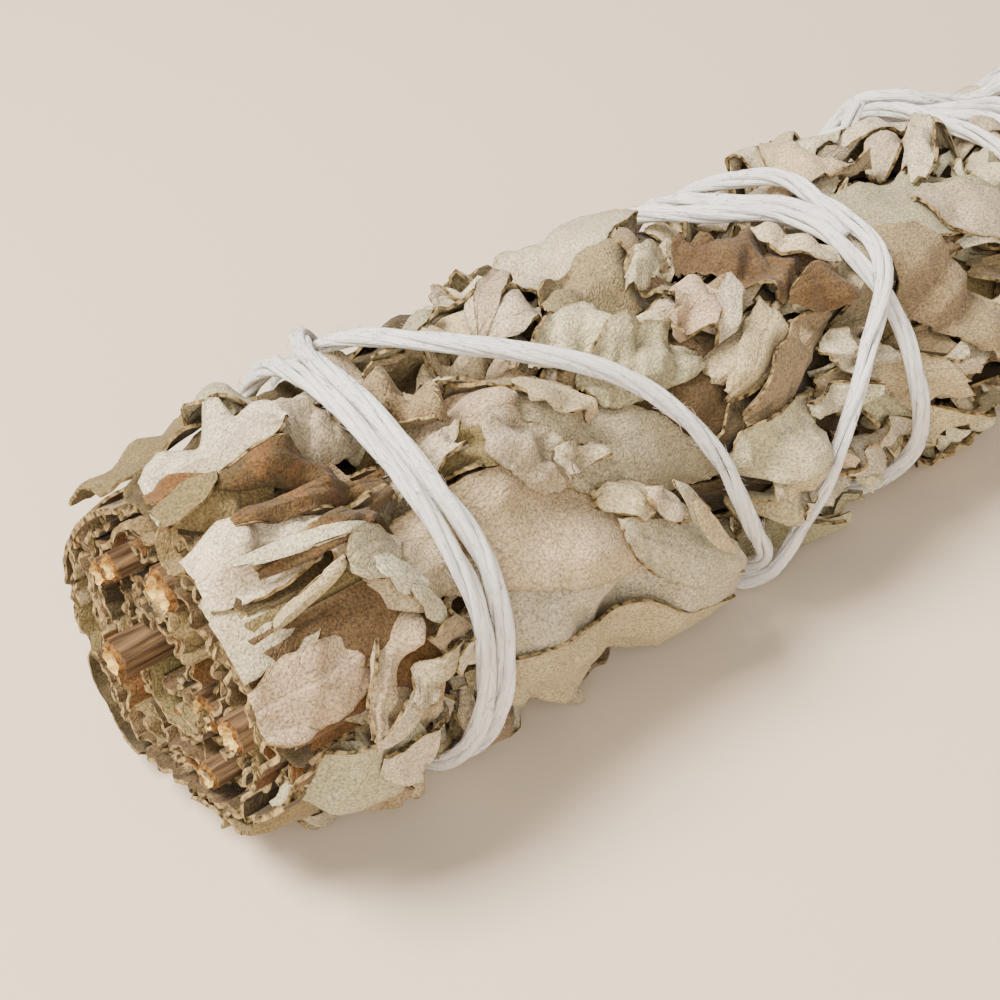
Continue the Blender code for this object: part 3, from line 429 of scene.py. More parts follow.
def leaf_form(sheet, leaf):
    """Where a leaf's grid lies along and round the stick, and the folds, rolls and waves of its own."""
    x, angle, turn, length, width, rib, curl, roll, crumple = leaf[:9]
    ragged = LEAST_RAGGED + CRUMPLED_RAGGED * crumple
    u = np.linspace(0.0, 1.0, sheet["rows"] + 1)[:, None]
    v = np.linspace(-1.0, 1.0, sheet["columns"] + 1)[None, :]
    outline = BLUNT_END + (1 - BLUNT_END) * np.sin(math.pi * np.clip(u, 0.02, 0.98) ** 0.85) ** 0.7
    wander = np.interp(u[:, 0], np.linspace(0, 1, 7), rng.uniform(-ragged, ragged, 7))[:, None]
    scallop = SCALLOP_DEPTH * np.abs(np.sin(math.pi * u * length / SCALLOP_LENGTH)) * np.abs(v) ** 6
    other = np.interp(u[:, 0], np.linspace(0, 1, 9), rng.uniform(-ragged, ragged, 9))[:, None]
    wander = np.where(v > 0.0, wander, other)
    half = outline * (1.0 + wander * np.abs(v) ** 3 + scallop) * width / 2
    bow = rng.uniform(-MOST_BOW, MOST_BOW) * length * 4 * u * (1 - u)
    span = max(2.1 * roll, 0.05)
    across = half * np.sin(span * v) / span + bow
    crown = half * (np.cos(span * v) - 1.0) / span + width * 0.25 * span
    edge = np.clip((v * rng.choice([-1, 1]) - CURL_START) / (1 - CURL_START), 0.0, 1.0) ** 1.4
    waves = np.sin(2 * math.pi * (u * rng.uniform(0.8, 1.8) + rng.uniform()))
    own = crown + rib * np.exp(-(v / RIB_WIDTH) ** 2) * 0.5 + (0.2 + 1.2 * crumple) * waves * v
    own = own + CURL_HEIGHT * curl * edge * (0.6 + 0.4 * waves)
    along = (u - 0.5) * length + rng.uniform(-2.0, 2.0) * crumple * v * half
    depth = crumple * (0.4 + 2.0 * crumple)
    for _ in range(FOLDS):
        way = rng.uniform(0, math.pi)
        size = rng.uniform(*FOLD_SIZES)
        line = (along * math.cos(way) + across * math.sin(way)) / size + rng.uniform()
        own = own + depth * (1.0 - 2.0 * np.abs(2.0 * (line % 1.0) - 1.0)) * size / 2.0
    own = own - np.clip(1.0 - u / ROOT_LENGTH, 0.0, 1.0) ** 2
    tilt = math.radians(turn)
    place_x = x + along * math.cos(tilt) - across * math.sin(tilt)
    arc = along * math.sin(tilt) + across * math.cos(tilt)
    return place_x, math.radians(angle) + arc / (FRONT_RADIUS - TAPER * x), own


def finer(grid, rows, columns):
    """The grid read at evenly spaced finer places."""
    down = np.linspace(0, 1, rows)
    out = np.array([np.interp(down, np.linspace(0, 1, grid.shape[0]), line) for line in grid.T]).T
    over = np.linspace(0, 1, columns)
    return np.array([np.interp(over, np.linspace(0, 1, grid.shape[1]), line) for line in out])


def lay_leaf(sheet, leaf):
    """Drapes a leaf over what lies there: it rests on the high spots and bridges the hollows between."""
    x, angle, own = leaf_form(sheet, leaf)
    crumple = leaf[8]
    along, around = cells_at(x, angle)
    under = np.max([
        height_map[np.clip(along + i, 0, len(height_map) - 1), (around + j) % TURN_CELLS]
        for i in (-1, 0, 1) for j in (-1, 0, 1)
    ], axis=0)
    need = under + LEAF_GAP + LEAF_THICKNESS / 2 - own
    base = need
    for _ in range(int(70 - 60 * min(crumple * 2, 0.9))):
        wide = np.pad(base, 1, mode="edge")
        mean = (wide[:-2, 1:-1] + wide[2:, 1:-1] + wide[1:-1, :-2] + wide[1:-1, 2:]) / 4
        base = np.maximum(need, mean)
    height = base + own
    fine = [finer(grid, 2 * grid.shape[0], 3 * grid.shape[1]) for grid in (x, angle, height)]
    np.maximum.at(height_map, cells_at(fine[0], fine[1]), fine[2] + LEAF_THICKNESS / 2)
    return sheet, leaf, x, angle, height


def leaf_sheet(name, sheet, points, length, width, tint):
    """A copy of the blank sheet moved to those points in millimetres, with its own tint and patterns."""
    mesh = sheet["mesh"].copy()
    mesh.name = name
    mesh.vertices.foreach_set("co", (points[sheet["u"], sheet["v"]] * MM).ravel())
    u = sheet["u"][sheet["corner"]] / sheet["rows"]
    v = sheet["v"][sheet["corner"]] / sheet["columns"] * 2 - 1
    shift = rng.uniform(0, 90)
    mesh.uv_layers["blade"].data.foreach_set("uv", np.stack([u * length + shift, v * width / 2], 1).ravel())
    mesh.uv_layers["part"].data.foreach_set("uv", np.stack([u, v], 1).ravel())
    colour = np.array(hex_colour(TINTS[tint]))
    colour[:3] *= rng.uniform(0.88, 1.08) * (1 + rng.uniform(-0.04, 0.04, 3))
    shades = np.tile(colour, (len(mesh.vertices), 1))
    mesh.attributes["tint"].data.foreach_set("color", shades.ravel())
    return new_object(name, mesh)


def cut_square(sheet, offset):
    """Trims a sheet at the cut end, slightly ragged, as the bundle was sawn. Gives the faces left."""
    mesh = bmesh.new()
    mesh.from_mesh(sheet.data)
    place = (CUT_POINT + Vector((offset, 0, 0))) * MM
    geometry = mesh.verts[:] + mesh.edges[:] + mesh.faces[:]
    cut = bmesh.ops.bisect_plane(mesh, geom=geometry, plane_co=place, plane_no=CUT_NORMAL, clear_inner=True)
    for part in cut["geom_cut"]:
        if isinstance(part, bmesh.types.BMVert):
            part.co.x += rng.uniform(-CUT_RAGGED, CUT_RAGGED) * MM
    left = len(mesh.faces)
    mesh.to_mesh(sheet.data)
    mesh.free()
    return left


def face_outwards(piece):
    """Turns all of a piece's faces outwards, and leaves it the only one selected."""
    clear_selection()
    piece.select_set(True)
    bpy.context.view_layer.objects.active = piece
    bpy.ops.object.mode_set(mode="EDIT")
    bpy.ops.mesh.select_all(action="SELECT")
    bpy.ops.mesh.normals_make_consistent(inside=False)
    bpy.ops.object.mode_set(mode="OBJECT")


def join_sheets(name, sheets, materials, thickness):
    """One piece from many sheets, each given its thickness, with the second material on its edges."""
    clear_selection()
    for sheet in sheets:
        sheet.select_set(True)
    piece = sheets[0]
    bpy.context.view_layer.objects.active = piece
    bpy.ops.object.join()
    piece.name = name
    piece.data.materials.clear()
    for material in materials:
        piece.data.materials.append(material)
    solid = piece.modifiers.new("thickness", "SOLIDIFY")
    solid.thickness = thickness * MM
    solid.offset = 0.0
    solid.material_offset_rim = len(materials) - 1
    bpy.ops.object.modifier_apply(modifier=solid.name)
    face_outwards(piece)
    bpy.ops.object.shade_smooth_by_angle(angle=SMOOTH_ANGLE)
    return piece


def settle(piece, node):
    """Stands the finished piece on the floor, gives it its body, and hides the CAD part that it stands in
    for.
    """
    piece.data.transform(STAND)
    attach(piece, "root")
    if node:
        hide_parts(node)


def leaf_material(name, vein_colour, stain_colour, stain):
    """A matt felted blade with net and side veins, worn edges and stains, over each leaf's own tint."""
    made, tree, shader = new_material(name, 0.92, 0.1)
    vein = hex_colour(vein_colour)
    tint = add_node(tree, "Attribute", attribute_name="tint").outputs["Color"]
    blade = add_node(tree, "UVMap", uv_map="blade").outputs["UV"]
    part = add_node(tree, "UVMap", uv_map="part").outputs["UV"]
    place = add_node(tree, "TexCoord").outputs["Object"]
    grain = add_node(tree, "TexNoise", {"Vector": place}, in_2=5200.0, in_3=3.0).outputs["Fac"]
    patch = add_node(tree, "TexNoise", {"Vector": place}, in_2=420.0, in_3=4.0).outputs["Fac"]
    wide = add_node(tree, "TexNoise", {"Vector": place}, in_2=120.0, in_3=2.0).outputs["Fac"]
    warp = add_node(tree, "TexNoise", {"Vector": blade}, in_2=0.8, in_3=2.0).outputs["Color"]
    bent = add_node(tree, "VectorMath", {0: warp}, operation="SCALE", in_3=0.9).outputs[0]
    bent = add_node(tree, "VectorMath", {0: blade, 1: bent}, operation="ADD").outputs[0]
    nets = []
    for scale in (0.95, 2.3):
        net = add_node(tree, "TexVoronoi", {"Vector": bent}, feature="DISTANCE_TO_EDGE", in_2=scale)
        nets.append(add_node(tree, "MapRange", {0: net.outputs["Distance"]}, in_1=0.0, in_2=0.09,
                             in_3=1.0, in_4=0.0, interpolation_type="SMOOTHSTEP").outputs[0])
    axes = add_node(tree, "SeparateXYZ", {0: bent})
    off = add_node(tree, "Math", {0: axes.outputs[1]}, operation="ABSOLUTE").outputs[0]
    lean = add_node(tree, "Math", {0: off}, operation="MULTIPLY", in_1=1.1).outputs[0]
    lean = add_node(tree, "Math", {0: axes.outputs[0], 1: lean}, operation="SUBTRACT").outputs[0]
    side = add_node(tree, "Math", {0: lean}, operation="PINGPONG", in_1=1.2).outputs[0]
    side = add_node(tree, "MapRange", {0: side}, in_1=0.0, in_2=0.12, in_3=1.0, in_4=0.0).outputs[0]
    middle = add_node(tree, "MapRange", {0: off}, in_1=0.1, in_2=0.3, in_3=1.0, in_4=0.0).outputs[0]
    lines = add_node(tree, "Math", {0: side, 1: middle}, operation="MAXIMUM").outputs[0]
    fine = add_node(tree, "Math", {0: nets[1]}, operation="MULTIPLY", in_1=0.35).outputs[0]
    weave = add_node(tree, "Math", {0: nets[0]}, operation="MULTIPLY", in_1=0.6).outputs[0]
    weave = add_node(tree, "Math", {0: weave, 1: fine}, operation="MAXIMUM").outputs[0]
    veins = add_node(tree, "Math", {0: weave, 1: lines}, operation="MAXIMUM").outputs[0]
    spots = add_node(tree, "MapRange", {0: patch}, in_1=0.46, in_2=0.74, in_3=0.0, in_4=stain)
    stained = add_node(tree, "Mix", {0: spots.outputs[0], 6: tint}, data_type="RGBA",
                       in_7=hex_colour(stain_colour)).outputs[2]
    veiny = add_node(tree, "Math", {0: veins}, operation="MULTIPLY", in_1=0.14).outputs[0]
    veined = add_node(tree, "Mix", {0: veiny, 6: stained}, data_type="RGBA", in_7=vein).outputs[2]
    rim = add_node(tree, "SeparateXYZ", {0: part}).outputs[1]
    rim = add_node(tree, "Math", {0: rim}, operation="ABSOLUTE").outputs[0]
    rim = add_node(tree, "MapRange", {0: rim}, in_1=0.9, in_2=1.0, in_3=0.0, in_4=0.55).outputs[0]
    edged = add_node(tree, "Mix", {0: rim, 6: veined}, data_type="RGBA", in_7=vein).outputs[2]
    felt = add_node(tree, "MapRange", {0: grain}, in_1=0.3, in_2=0.7, in_3=0.48, in_4=1.38).outputs[0]
    tone = add_node(tree, "MapRange", {0: wide}, in_1=0.3, in_2=0.7, in_3=0.9, in_4=1.08).outputs[0]
    shade = add_node(tree, "Math", {0: felt, 1: tone}, operation="MULTIPLY").outputs[0]
    final = add_node(tree, "VectorMath", {0: edged, "Scale": shade}, operation="SCALE")
    tree.links.new(final.outputs[0], shader.inputs["Base Color"])
    relief = add_node(tree, "Math", {0: veins, 1: grain}, operation="SUBTRACT").outputs[0]
    crease = add_node(tree, "Bump", {"Height": patch}, in_0=0.7, in_1=0.0003).outputs[0]
    bump = add_node(tree, "Bump", {"Height": relief, "Normal": crease}, invert=True, in_0=0.6,
                    in_1=0.00012)
    tree.links.new(bump.outputs[0], shader.inputs["Normal"])
    return made


# Dried sage leaf: pale, matt and felted. Net veins are about 1 mm apart, side veins 2.4 mm, and the
# felt's grain, really under 0.1 mm, is drawn at about 0.2 mm so that it shows.
sage_leaf = leaf_material("dried_white_sage_leaf", "#7d6d4e", "#9a835c", 0.3)
# Broken leaf edge: the thin olive-brown line of dry tissue between a leaf's two felted faces.
leaf_edge, tree, shader = new_material("broken_leaf_edge", 0.95)
place = add_node(tree, "TexCoord").outputs["Object"]
grain = add_node(tree, "TexNoise", {"Vector": place}, in_2=1900.0, in_3=4.0).outputs["Fac"]
grain = add_node(tree, "MapRange", {0: grain}, in_1=0.36, in_2=0.64).outputs[0]
edge_tone = add_node(tree, "Mix", {0: grain}, data_type="RGBA", in_6=hex_colour("#2e2210"),
                     in_7=hex_colour("#a58e62"))
tree.links.new(edge_tone.outputs[2], shader.inputs["Base Color"])

large_blank = blank_sheet("large_blank", 56, 16)
cover_blank = blank_sheet("cover_blank", 28, 12)
small_blank = blank_sheet("small_blank", 14, 8)
middle_blank = blank_sheet("middle_blank", 24, 10)
COMMON_TINTS = ("pale", "beige", "sage", "pale", "pink", "green", "taupe", "white", "sage", "beige")
# The under tints are partly the inner leaves' own olive and brown, partly the painted shade of "shade".
UNDER_BROWN_AND_SHADE_TINTS = ("shade", "olive", "shade", "brown")
UPPER_COUNT = 95
SMOOTH_CRUMPLE = 0.12
SMOOTH_MARGIN = 1.5


def on_smooth_leaf(x, angle):
    """Whether a place, its angle in degrees, lies on a large smooth leaf, which nothing covers."""
    for leaf in LARGE_LEAVES:
        middle, turned, turn, long, broad, crumple = *leaf[:5], leaf[8]
        if crumple > SMOOTH_CRUMPLE:
            continue
        tilt = math.radians(turn)
        arc = math.radians((angle - turned + 180.0) % 360.0 - 180.0) * (FRONT_RADIUS - TAPER * x)
        along = ((x - middle) * math.cos(tilt) + arc * math.sin(tilt)) / (0.5 * long + SMOOTH_MARGIN)
        across = (arc * math.cos(tilt) - (x - middle) * math.sin(tilt)) / (0.5 * broad + SMOOTH_MARGIN)
        if along**2 + across**2 < 1.0:
            return True
    return False


laid = {"cover": [], "small": [], "large": [], "upper": [], "brown": []}
# The cover leaves lie under all the others and show only in the gaps between them. Their dark tints are
# partly their own brown and partly painted shade for those gaps.
for row, (x, count, length, width) in enumerate(COVER_ROWS):
    for number in range(count):
        angle = 360.0 * (number + 0.5 * (row % 2)) / count + rng.uniform(-8, 8)
        place = x + rng.uniform(-3, 3)
        leaf = (place, angle, rng.uniform(-22, 22), length, width, 0.5, 0.7, 0.15, 0.15,
                str(rng.choice(UNDER_BROWN_AND_SHADE_TINTS)))
        laid["cover"].append(lay_leaf(cover_blank, leaf))
for number in range(SMALL_COUNT):
    leaf = (rng.uniform(8, 134), rng.uniform(0, 360), rng.uniform(-60, 60), rng.uniform(5, 12),
            rng.uniform(2.4, 6), rng.uniform(0.2, 0.7), rng.uniform(0.4, 1.2), rng.uniform(0.15, 0.9),
            rng.uniform(0.15, 0.6), str(rng.choice(COMMON_TINTS)))
    laid["small"].append(lay_leaf(small_blank, leaf))
for leaf in LARGE_LEAVES:
    laid["large"].append(lay_leaf(large_blank, leaf))
while len(laid["upper"]) < UPPER_COUNT:
    place, angle = rng.uniform(16, 132), rng.uniform(0, 360)
    if on_smooth_leaf(place, angle):
        continue
    if place < 60 and (angle < 120 or angle > 300):
        length, width = rng.uniform(3.5, 8), rng.uniform(2, 4)
    else:
        length, width = rng.uniform(7, 17), rng.uniform(3.5, 8)
    leaf = (place, angle, rng.uniform(-50, 50), length, width, rng.uniform(0.3, 0.8), rng.uniform(0.4, 1.2),
            rng.uniform(0.2, 0.9), rng.uniform(0.15, 0.6), str(rng.choice(COMMON_TINTS)))
    laid["upper"].append(lay_leaf(middle_blank, leaf))

# Brown leaves
# Three older leaves that dried brown lie folded together beside the first string wrap. The small strips
# and scraps go down after them, because they lie over all the others.
BROWN_LEAVES = (
    (11.8, 19, 18, 13.5, 3.6, 0.5, 0.8, 0.8, 0.1, "brown"),
    (10.8, 27, 7, 12.5, 3.4, 0.5, 0.8, 0.85, 0.1, "brown"),
    (10.4, 35, -6, 12, 3.4, 0.5, 0.8, 0.85, 0.1, "brown"),
)
# Dried brown leaf: the same felt and veins over a dark tint, with twice as many orange-brown stains.
brown_leaf = leaf_material("dried_brown_sage_leaf", "#3a2716", "#8a5a33", 0.6)
for leaf in BROWN_LEAVES:
    laid["brown"].append(lay_leaf(large_blank, leaf))
for leaf in SCRAPS:
    laid["small"].append(lay_leaf(small_blank, leaf))

# Binding
# The string is pulled tight over the leaves, and passes over itself in low humps. High leaves are pressed
# in, and those under the string sink until it lies on them. Each group of leaves is then one piece.
LEVEL_PASSES = 320
STRING_DIAMETER = 1.4
STRAND_SPACING = STRING_DIAMETER
STRING_RIDE = -0.2
STRING_SINK = 0.3
MOST_CROSSINGS = 5
# The string's height is eased over EASE_REACH route points each way. Points further apart than NEXT_STRAND
# are on two strands where they meet, and the later one passes over.
EASE_REACH = 2
NEXT_STRAND = 8
level_map = height_map.copy()
for _ in range(LEVEL_PASSES):
    ends = np.vstack([level_map[:1], level_map, level_map[-1:]])
    level_map = (ends[:-2] + 2 * level_map + ends[2:]) / 4
    level_map = (np.roll(level_map, 1, 1) + 2 * level_map + np.roll(level_map, -1, 1)) / 4


def eased(values):
    """The values' highest nearby, then smoothed over as many, so that the string never dips under."""
    steps = range(2 * EASE_REACH + 1)
    wide = np.pad(values, EASE_REACH, mode="edge")
    highest = np.max([wide[i:i + len(values)] for i in steps], axis=0)
    wide = np.pad(highest, EASE_REACH, mode="edge")
    return np.mean([wide[i:i + len(values)] for i in steps], axis=0)


half = STRING_DIAMETER / 2
x, angle = route[:, 0], route[:, 1]
need = bundle_radius(x, angle) + STRING_RIDE
room = FRONT_RADIUS - REST_DEPTH - REST_CUT - half - FLOOR_GAP - TAPER * x
room = room / np.maximum(-np.cos(angle), 0.3)
number = np.arange(len(route))
earlier = number[:, None] - number[None, :] > NEXT_STRAND
turned_by = (angle[:, None] - angle[None, :] + math.pi) % (2 * math.pi) - math.pi
away = np.hypot(x[:, None] - x[None, :], turned_by * FRONT_RADIUS)
crossing = earlier & (away < STRAND_SPACING)
hump = np.sqrt(np.maximum(STRAND_SPACING**2 - away**2, 0.0))
radii = eased(need)
for _ in range(MOST_CROSSINGS):
    over = np.where(crossing, radii[None, :] + hump, 0.0)
    radii = eased(np.maximum(need, over.max(axis=1)))
string_radii = np.minimum(radii, room)
top = bound_radius(x, angle, read_map(height_map, x, angle))
for place, excess in zip(route, top - (string_radii - half) - STRING_SINK):
    if excess > 0.0:
        press_groove(place, groove_map[cells_at(*place)] + excess)

for group, name, node in (
    ("cover", "sage_leaves_cover", "leaf_bundle"),
    ("small", "sage_leaves_crumpled", "leaf_bundle"),
    ("large", "sage_leaves_large", "leaf_bundle"),
    ("upper", "sage_leaves_upper", "leaf_bundle"),
    ("brown", "brown_leaves_folded", "brown_leaves"),
):
    sheets = []
    for number, (sheet, leaf, x, angle, height) in enumerate(laid[group]):
        length, width, tint = leaf[3], leaf[4], leaf[9]
        points = on_floor(to_space(x, angle, bound_radius(x, angle, height)), LEAF_THICKNESS)
        made = leaf_sheet(f"{group}_{number}", sheet, points, length, width, tint)
        if x.min() < CUT_REACH and cut_square(made, rng.uniform(-0.8, 0.5)) == 0:
            bpy.data.objects.remove(made)
            continue
        sheets.append(made)
    face = brown_leaf if group == "brown" else sage_leaf
    piece = join_sheets(name, sheets, (face, leaf_edge), LEAF_THICKNESS)
    settle(piece, node)

# Packed core
# The middle of the bundle is stems and leaves pressed into one mass. Only its surface shows, down in the
# gaps between the outer leaves, so it is coloured near black: partly its own dark brown, partly painted
# shade for those gaps. It is a cylinder shaped to lie just under them.
CORE_START = 9.0
CORE_END = 133.0
CORE_SINK = 1.2
CORE_RINGS = 50
CORE_TIP = 0.75
CORE_CLEARANCE = 0.6
clear_selection()
bpy.ops.mesh.primitive_cylinder_add(vertices=72, radius=1.0, depth=1.0, end_fill_type="TRIFAN")
core = bpy.context.active_object
core.name = "packed_core"
bpy.ops.object.mode_set(mode="EDIT")
for cut in np.linspace(-0.5, 0.5, CORE_RINGS)[1:-1]:
    bpy.ops.mesh.select_all(action="SELECT")
    bpy.ops.mesh.bisect(plane_co=(0.0, 0.0, cut), plane_no=(0.0, 0.0, 1.0))
bpy.ops.object.mode_set(mode="OBJECT")
raw = np.array([corner.co[:] for corner in core.data.vertices])
x = CORE_START + (raw[:, 2] + 0.5) * (CORE_END - CORE_START)
angle = np.arctan2(raw[:, 1], raw[:, 0])
radius = bound_radius(x, angle, -CORE_SINK) * np.hypot(raw[:, 0], raw[:, 1])
radius *= np.where(x > CORE_END - 1.0, CORE_TIP, 1.0)
points = on_floor(to_space(x, angle, radius), CORE_CLEARANCE)
core.data.vertices.foreach_set("co", (points * MM).ravel())
face_outwards(core)
# Pressed leaf litter: matt, in crumbs of about a millimetre, near-black brown, which is partly its own dark
# brown and partly painted shade for the gaps that it shows in.
litter_and_shade, tree, shader = new_material("pressed_leaf_litter", 1.0)
place = add_node(tree, "TexCoord").outputs["Object"]
grain = add_node(tree, "TexNoise", {"Vector": place}, in_2=900.0, in_3=5.0).outputs["Fac"]
mixed = add_node(tree, "Mix", {0: grain}, data_type="RGBA", in_6=hex_colour("#1d130b"),
                 in_7=hex_colour("#5c4630"))
tree.links.new(mixed.outputs[2], shader.inputs["Base Color"])
rough = add_node(tree, "Bump", {"Height": grain}, in_1=0.001)
tree.links.new(rough.outputs[0], shader.inputs["Normal"])
core.data.materials.append(litter_and_shade)
settle(core, None)

# Cut leaf layers
# At the sawn end the inner leaves show edge on: thin crinkled layers, olive-brown where they were cut,
# packed round the stems, with a hollow left beside the middle ones.
LAYER_DISTANCES = np.arange(2.2, 15.6, 0.85)
LAYER_WIDTH = 6.5
LAYER_LENGTH = 13.0
LAYER_END = 15.0
LAYER_THICKNESS = 0.45
LAYER_INSET = 1.4
# Olive, brown, taupe and rust are the dried layers' own colours; "shade" is painted shade for the dark
# depths between the layers.
LAYER_TINTS = ("olive", "brown", "shade", "taupe", "brown", "rust", "shade", "olive")
HOLLOW_MIDDLE = (1.5, -1.0)
HOLLOW_RADIUS = 3.2
HOLLOW_DEPTH = 5.0
inner_blank = blank_sheet("inner_blank", 8, 22)
u, v = np.meshgrid(np.linspace(0.0, 1.0, inner_blank["rows"] + 1),
                   np.linspace(-1.0, 1.0, inner_blank["columns"] + 1), indexing="ij")
sheets = []
for ring, distance in enumerate(LAYER_DISTANCES):
    count = max(3, round(2 * math.pi * distance / LAYER_WIDTH))
    for number in range(count):
        middle = 2 * math.pi * (number + 0.37 * ring + rng.uniform(-0.2, 0.2)) / count
        spread = rng.uniform(0.6, 1.15) * math.pi / count
        angle = middle + v * spread
        waves = 0.45 * np.sin(rng.uniform(2.5, 5) * v + rng.uniform(0, 6))
        waves = waves + 0.2 * np.sin(rng.uniform(8, 13) * v + rng.uniform(0, 6)) + rng.uniform(-0.6, 0.6) * v
        radius = (distance + rng.uniform(-0.3, 0.3)) + waves * (1.0 - 0.3 * u)
        radius = np.minimum(radius, bundle_radius(FRONT_EDGE, angle) - LAYER_INSET)
        start = FRONT_EDGE + rng.uniform(-0.6, 1.8)
        spot = (-distance * math.sin(middle), distance * math.cos(middle))
        if math.dist(spot, HOLLOW_MIDDLE) < HOLLOW_RADIUS:
            start += HOLLOW_DEPTH
        x = start + u * (LAYER_END - start) + 0.25 * np.sin(9 * v + rng.uniform(0, 6)) * (1 - u)
        points = on_floor(to_space(x, angle, radius), LAYER_THICKNESS)
        tint = str(rng.choice(LAYER_TINTS))
        name = f"inner_{ring}_{number}"
        made = leaf_sheet(name, inner_blank, points, LAYER_LENGTH, 2 * spread * distance, tint)
        if cut_square(made, rng.uniform(-0.9, 1.2)):
            sheets.append(made)
        else:
            bpy.data.objects.remove(made)
cut_layers = join_sheets("cut_leaf_layers", sheets, (sage_leaf, leaf_edge), LAYER_THICKNESS)
settle(cut_layers, None)

# Woody stems
# The leaves grew on square woody stems with pale pith, sawn through at the end. Each is one natural,
# slightly curved stem, pressed among the leaves. Its row gives its place sideways and up from the bundle's
# axis, its radius, and its start and end along the bundle.
STEMS = (
    (4, 6.6, 0.9, 1.4, 96), (-1, 6.9, 1.5, 2.2, 118), (4.4, -1.7, 1.2, 0.8, 108),
    (-4.2, -2.1, 1.2, 2.6, 122), (-1.5, 1.6, 0.9, 3.4, 84), (-9.4, 0.2, 1.1, 1.2, 66),
    (-4.6, -7.4, 0.9, 2, 92), (8.6, 2.6, 0.9, 2.8, 78), (0.4, -6.6, 1, 3.2, 60),
)
STEM_RINGS = (-0.47, -0.43, -0.35, -0.2, 0.0, 0.2, 0.35)
# The cut end's insets and how deep each goes: the bark's edge, the wood's ring and then the pith.
STEM_INSETS = ((0.1, 0.0), (0.17, 0.003), (0.25, -0.004), (0.25, -0.004))
STEM_SWELL = 1.25
STEM_SQUARE = 0.09
STEM_TAPER = 0.75
STEM_CLOSING = 0.25
SAWN_PROUD = 0.25
SAWN_ROUGH = 0.13
STEM_SMOOTH_ANGLE = math.radians(40)
clear_selection()
bpy.ops.mesh.primitive_cylinder_add(vertices=24, radius=1.0, depth=1.0, end_fill_type="NGON")
stick = bpy.context.active_object
stick.name = "stem_blank"
bpy.ops.object.mode_set(mode="EDIT")
for cut in STEM_RINGS:
    bpy.ops.mesh.select_all(action="SELECT")
    bpy.ops.mesh.bisect(plane_co=(0.0, 0.0, cut), plane_no=(0.0, 0.0, 1.0))
bpy.ops.mesh.select_all(action="DESELECT")
mesh = bmesh.from_edit_mesh(stick.data)
for face in mesh.faces:
    if face.normal.z < -0.9:
        face.select = True
bmesh.update_edit_mesh(stick.data)
for number, (thickness, depth) in enumerate(STEM_INSETS):
    bpy.ops.mesh.inset(thickness=thickness, depth=depth)
    mesh = bmesh.from_edit_mesh(stick.data)
    for face in mesh.faces:
        if face.select:
            face.material_index = 1 if number < 1 else 2
    bmesh.update_edit_mesh(stick.data)
bpy.ops.object.mode_set(mode="OBJECT")
blank_stick = stick.data
bpy.data.objects.remove(stick)
# Sage bark: grey-brown, in streaks half a millimetre wide. Cut wood: an orange-brown ring. Pith: pale
# and spongy.
stem_materials = []
for name, dark, light, stretch in (
    ("sage_bark", "#3d2c1b", "#7e6346", 12.0),
    ("sawn_sage_wood", "#45290f", "#8f6631", 1.0),
    ("sage_pith", "#a37a34", "#e3c67f", 1.0),
):
    made, tree, shader = new_material(name, 0.85)
    place = add_node(tree, "TexCoord").outputs["Object"]
    drawn = add_node(tree, "Mapping", {"Vector": place}, in_3=(1.0 / stretch, 1.0, 1.0)).outputs[0]
    grain = add_node(tree, "TexNoise", {"Vector": drawn}, in_2=2200.0, in_3=4.0).outputs["Fac"]
    blend = add_node(tree, "MapRange", {0: grain}, in_1=0.35, in_2=0.65).outputs[0]
    mixed = add_node(tree, "Mix", {0: blend}, data_type="RGBA", in_6=hex_colour(dark),
                     in_7=hex_colour(light))
    tree.links.new(mixed.outputs[2], shader.inputs["Base Color"])
    raised = add_node(tree, "Bump", {"Height": grain}, in_1=0.0004)
    tree.links.new(raised.outputs[0], shader.inputs["Normal"])
    stem_materials.append(made)
raw = np.array([corner.co[:] for corner in blank_stick.vertices])
for number, (across, up, thick, start, end) in enumerate(STEMS):
    ease = raw[:, 2] + 0.5
    x = start + ease * (end - start)
    x = np.where(ease < 0.001, x - SAWN_PROUD + rng.uniform(-SAWN_ROUGH, SAWN_ROUGH, len(x)), x)
    turns = np.arctan2(raw[:, 1], raw[:, 0])
    square = 1.0 + STEM_SQUARE * np.cos(4 * turns + number)
    wide = STEM_SWELL * thick * np.interp(ease, (0, 1), (1.0, STEM_TAPER)) * square
    wide = wide * np.hypot(raw[:, 0], raw[:, 1])
    closing = 1 - STEM_CLOSING * ease
    y = across * closing + 0.7 * np.sin(2.2 * ease + number) - 0.7 * math.sin(number)
    z = up * closing + 0.6 * np.sin(2.6 * ease + 2 * number) - 0.6 * math.sin(2 * number)
    points = np.stack([x, y + wide * np.cos(turns), z + wide * np.sin(turns)], axis=1)
    name = f"sage_stem_{number + 1}"
    mesh = blank_stick.copy()
    mesh.vertices.foreach_set("co", (points * MM).ravel())
    stem = new_object(name, mesh)
    for made in stem_materials:
        mesh.materials.append(made)
    face_outwards(stem)
    bpy.ops.object.shade_smooth_by_angle(angle=STEM_SMOOTH_ANGLE)
    settle(stem, f"woody_stem_{number + 1}")

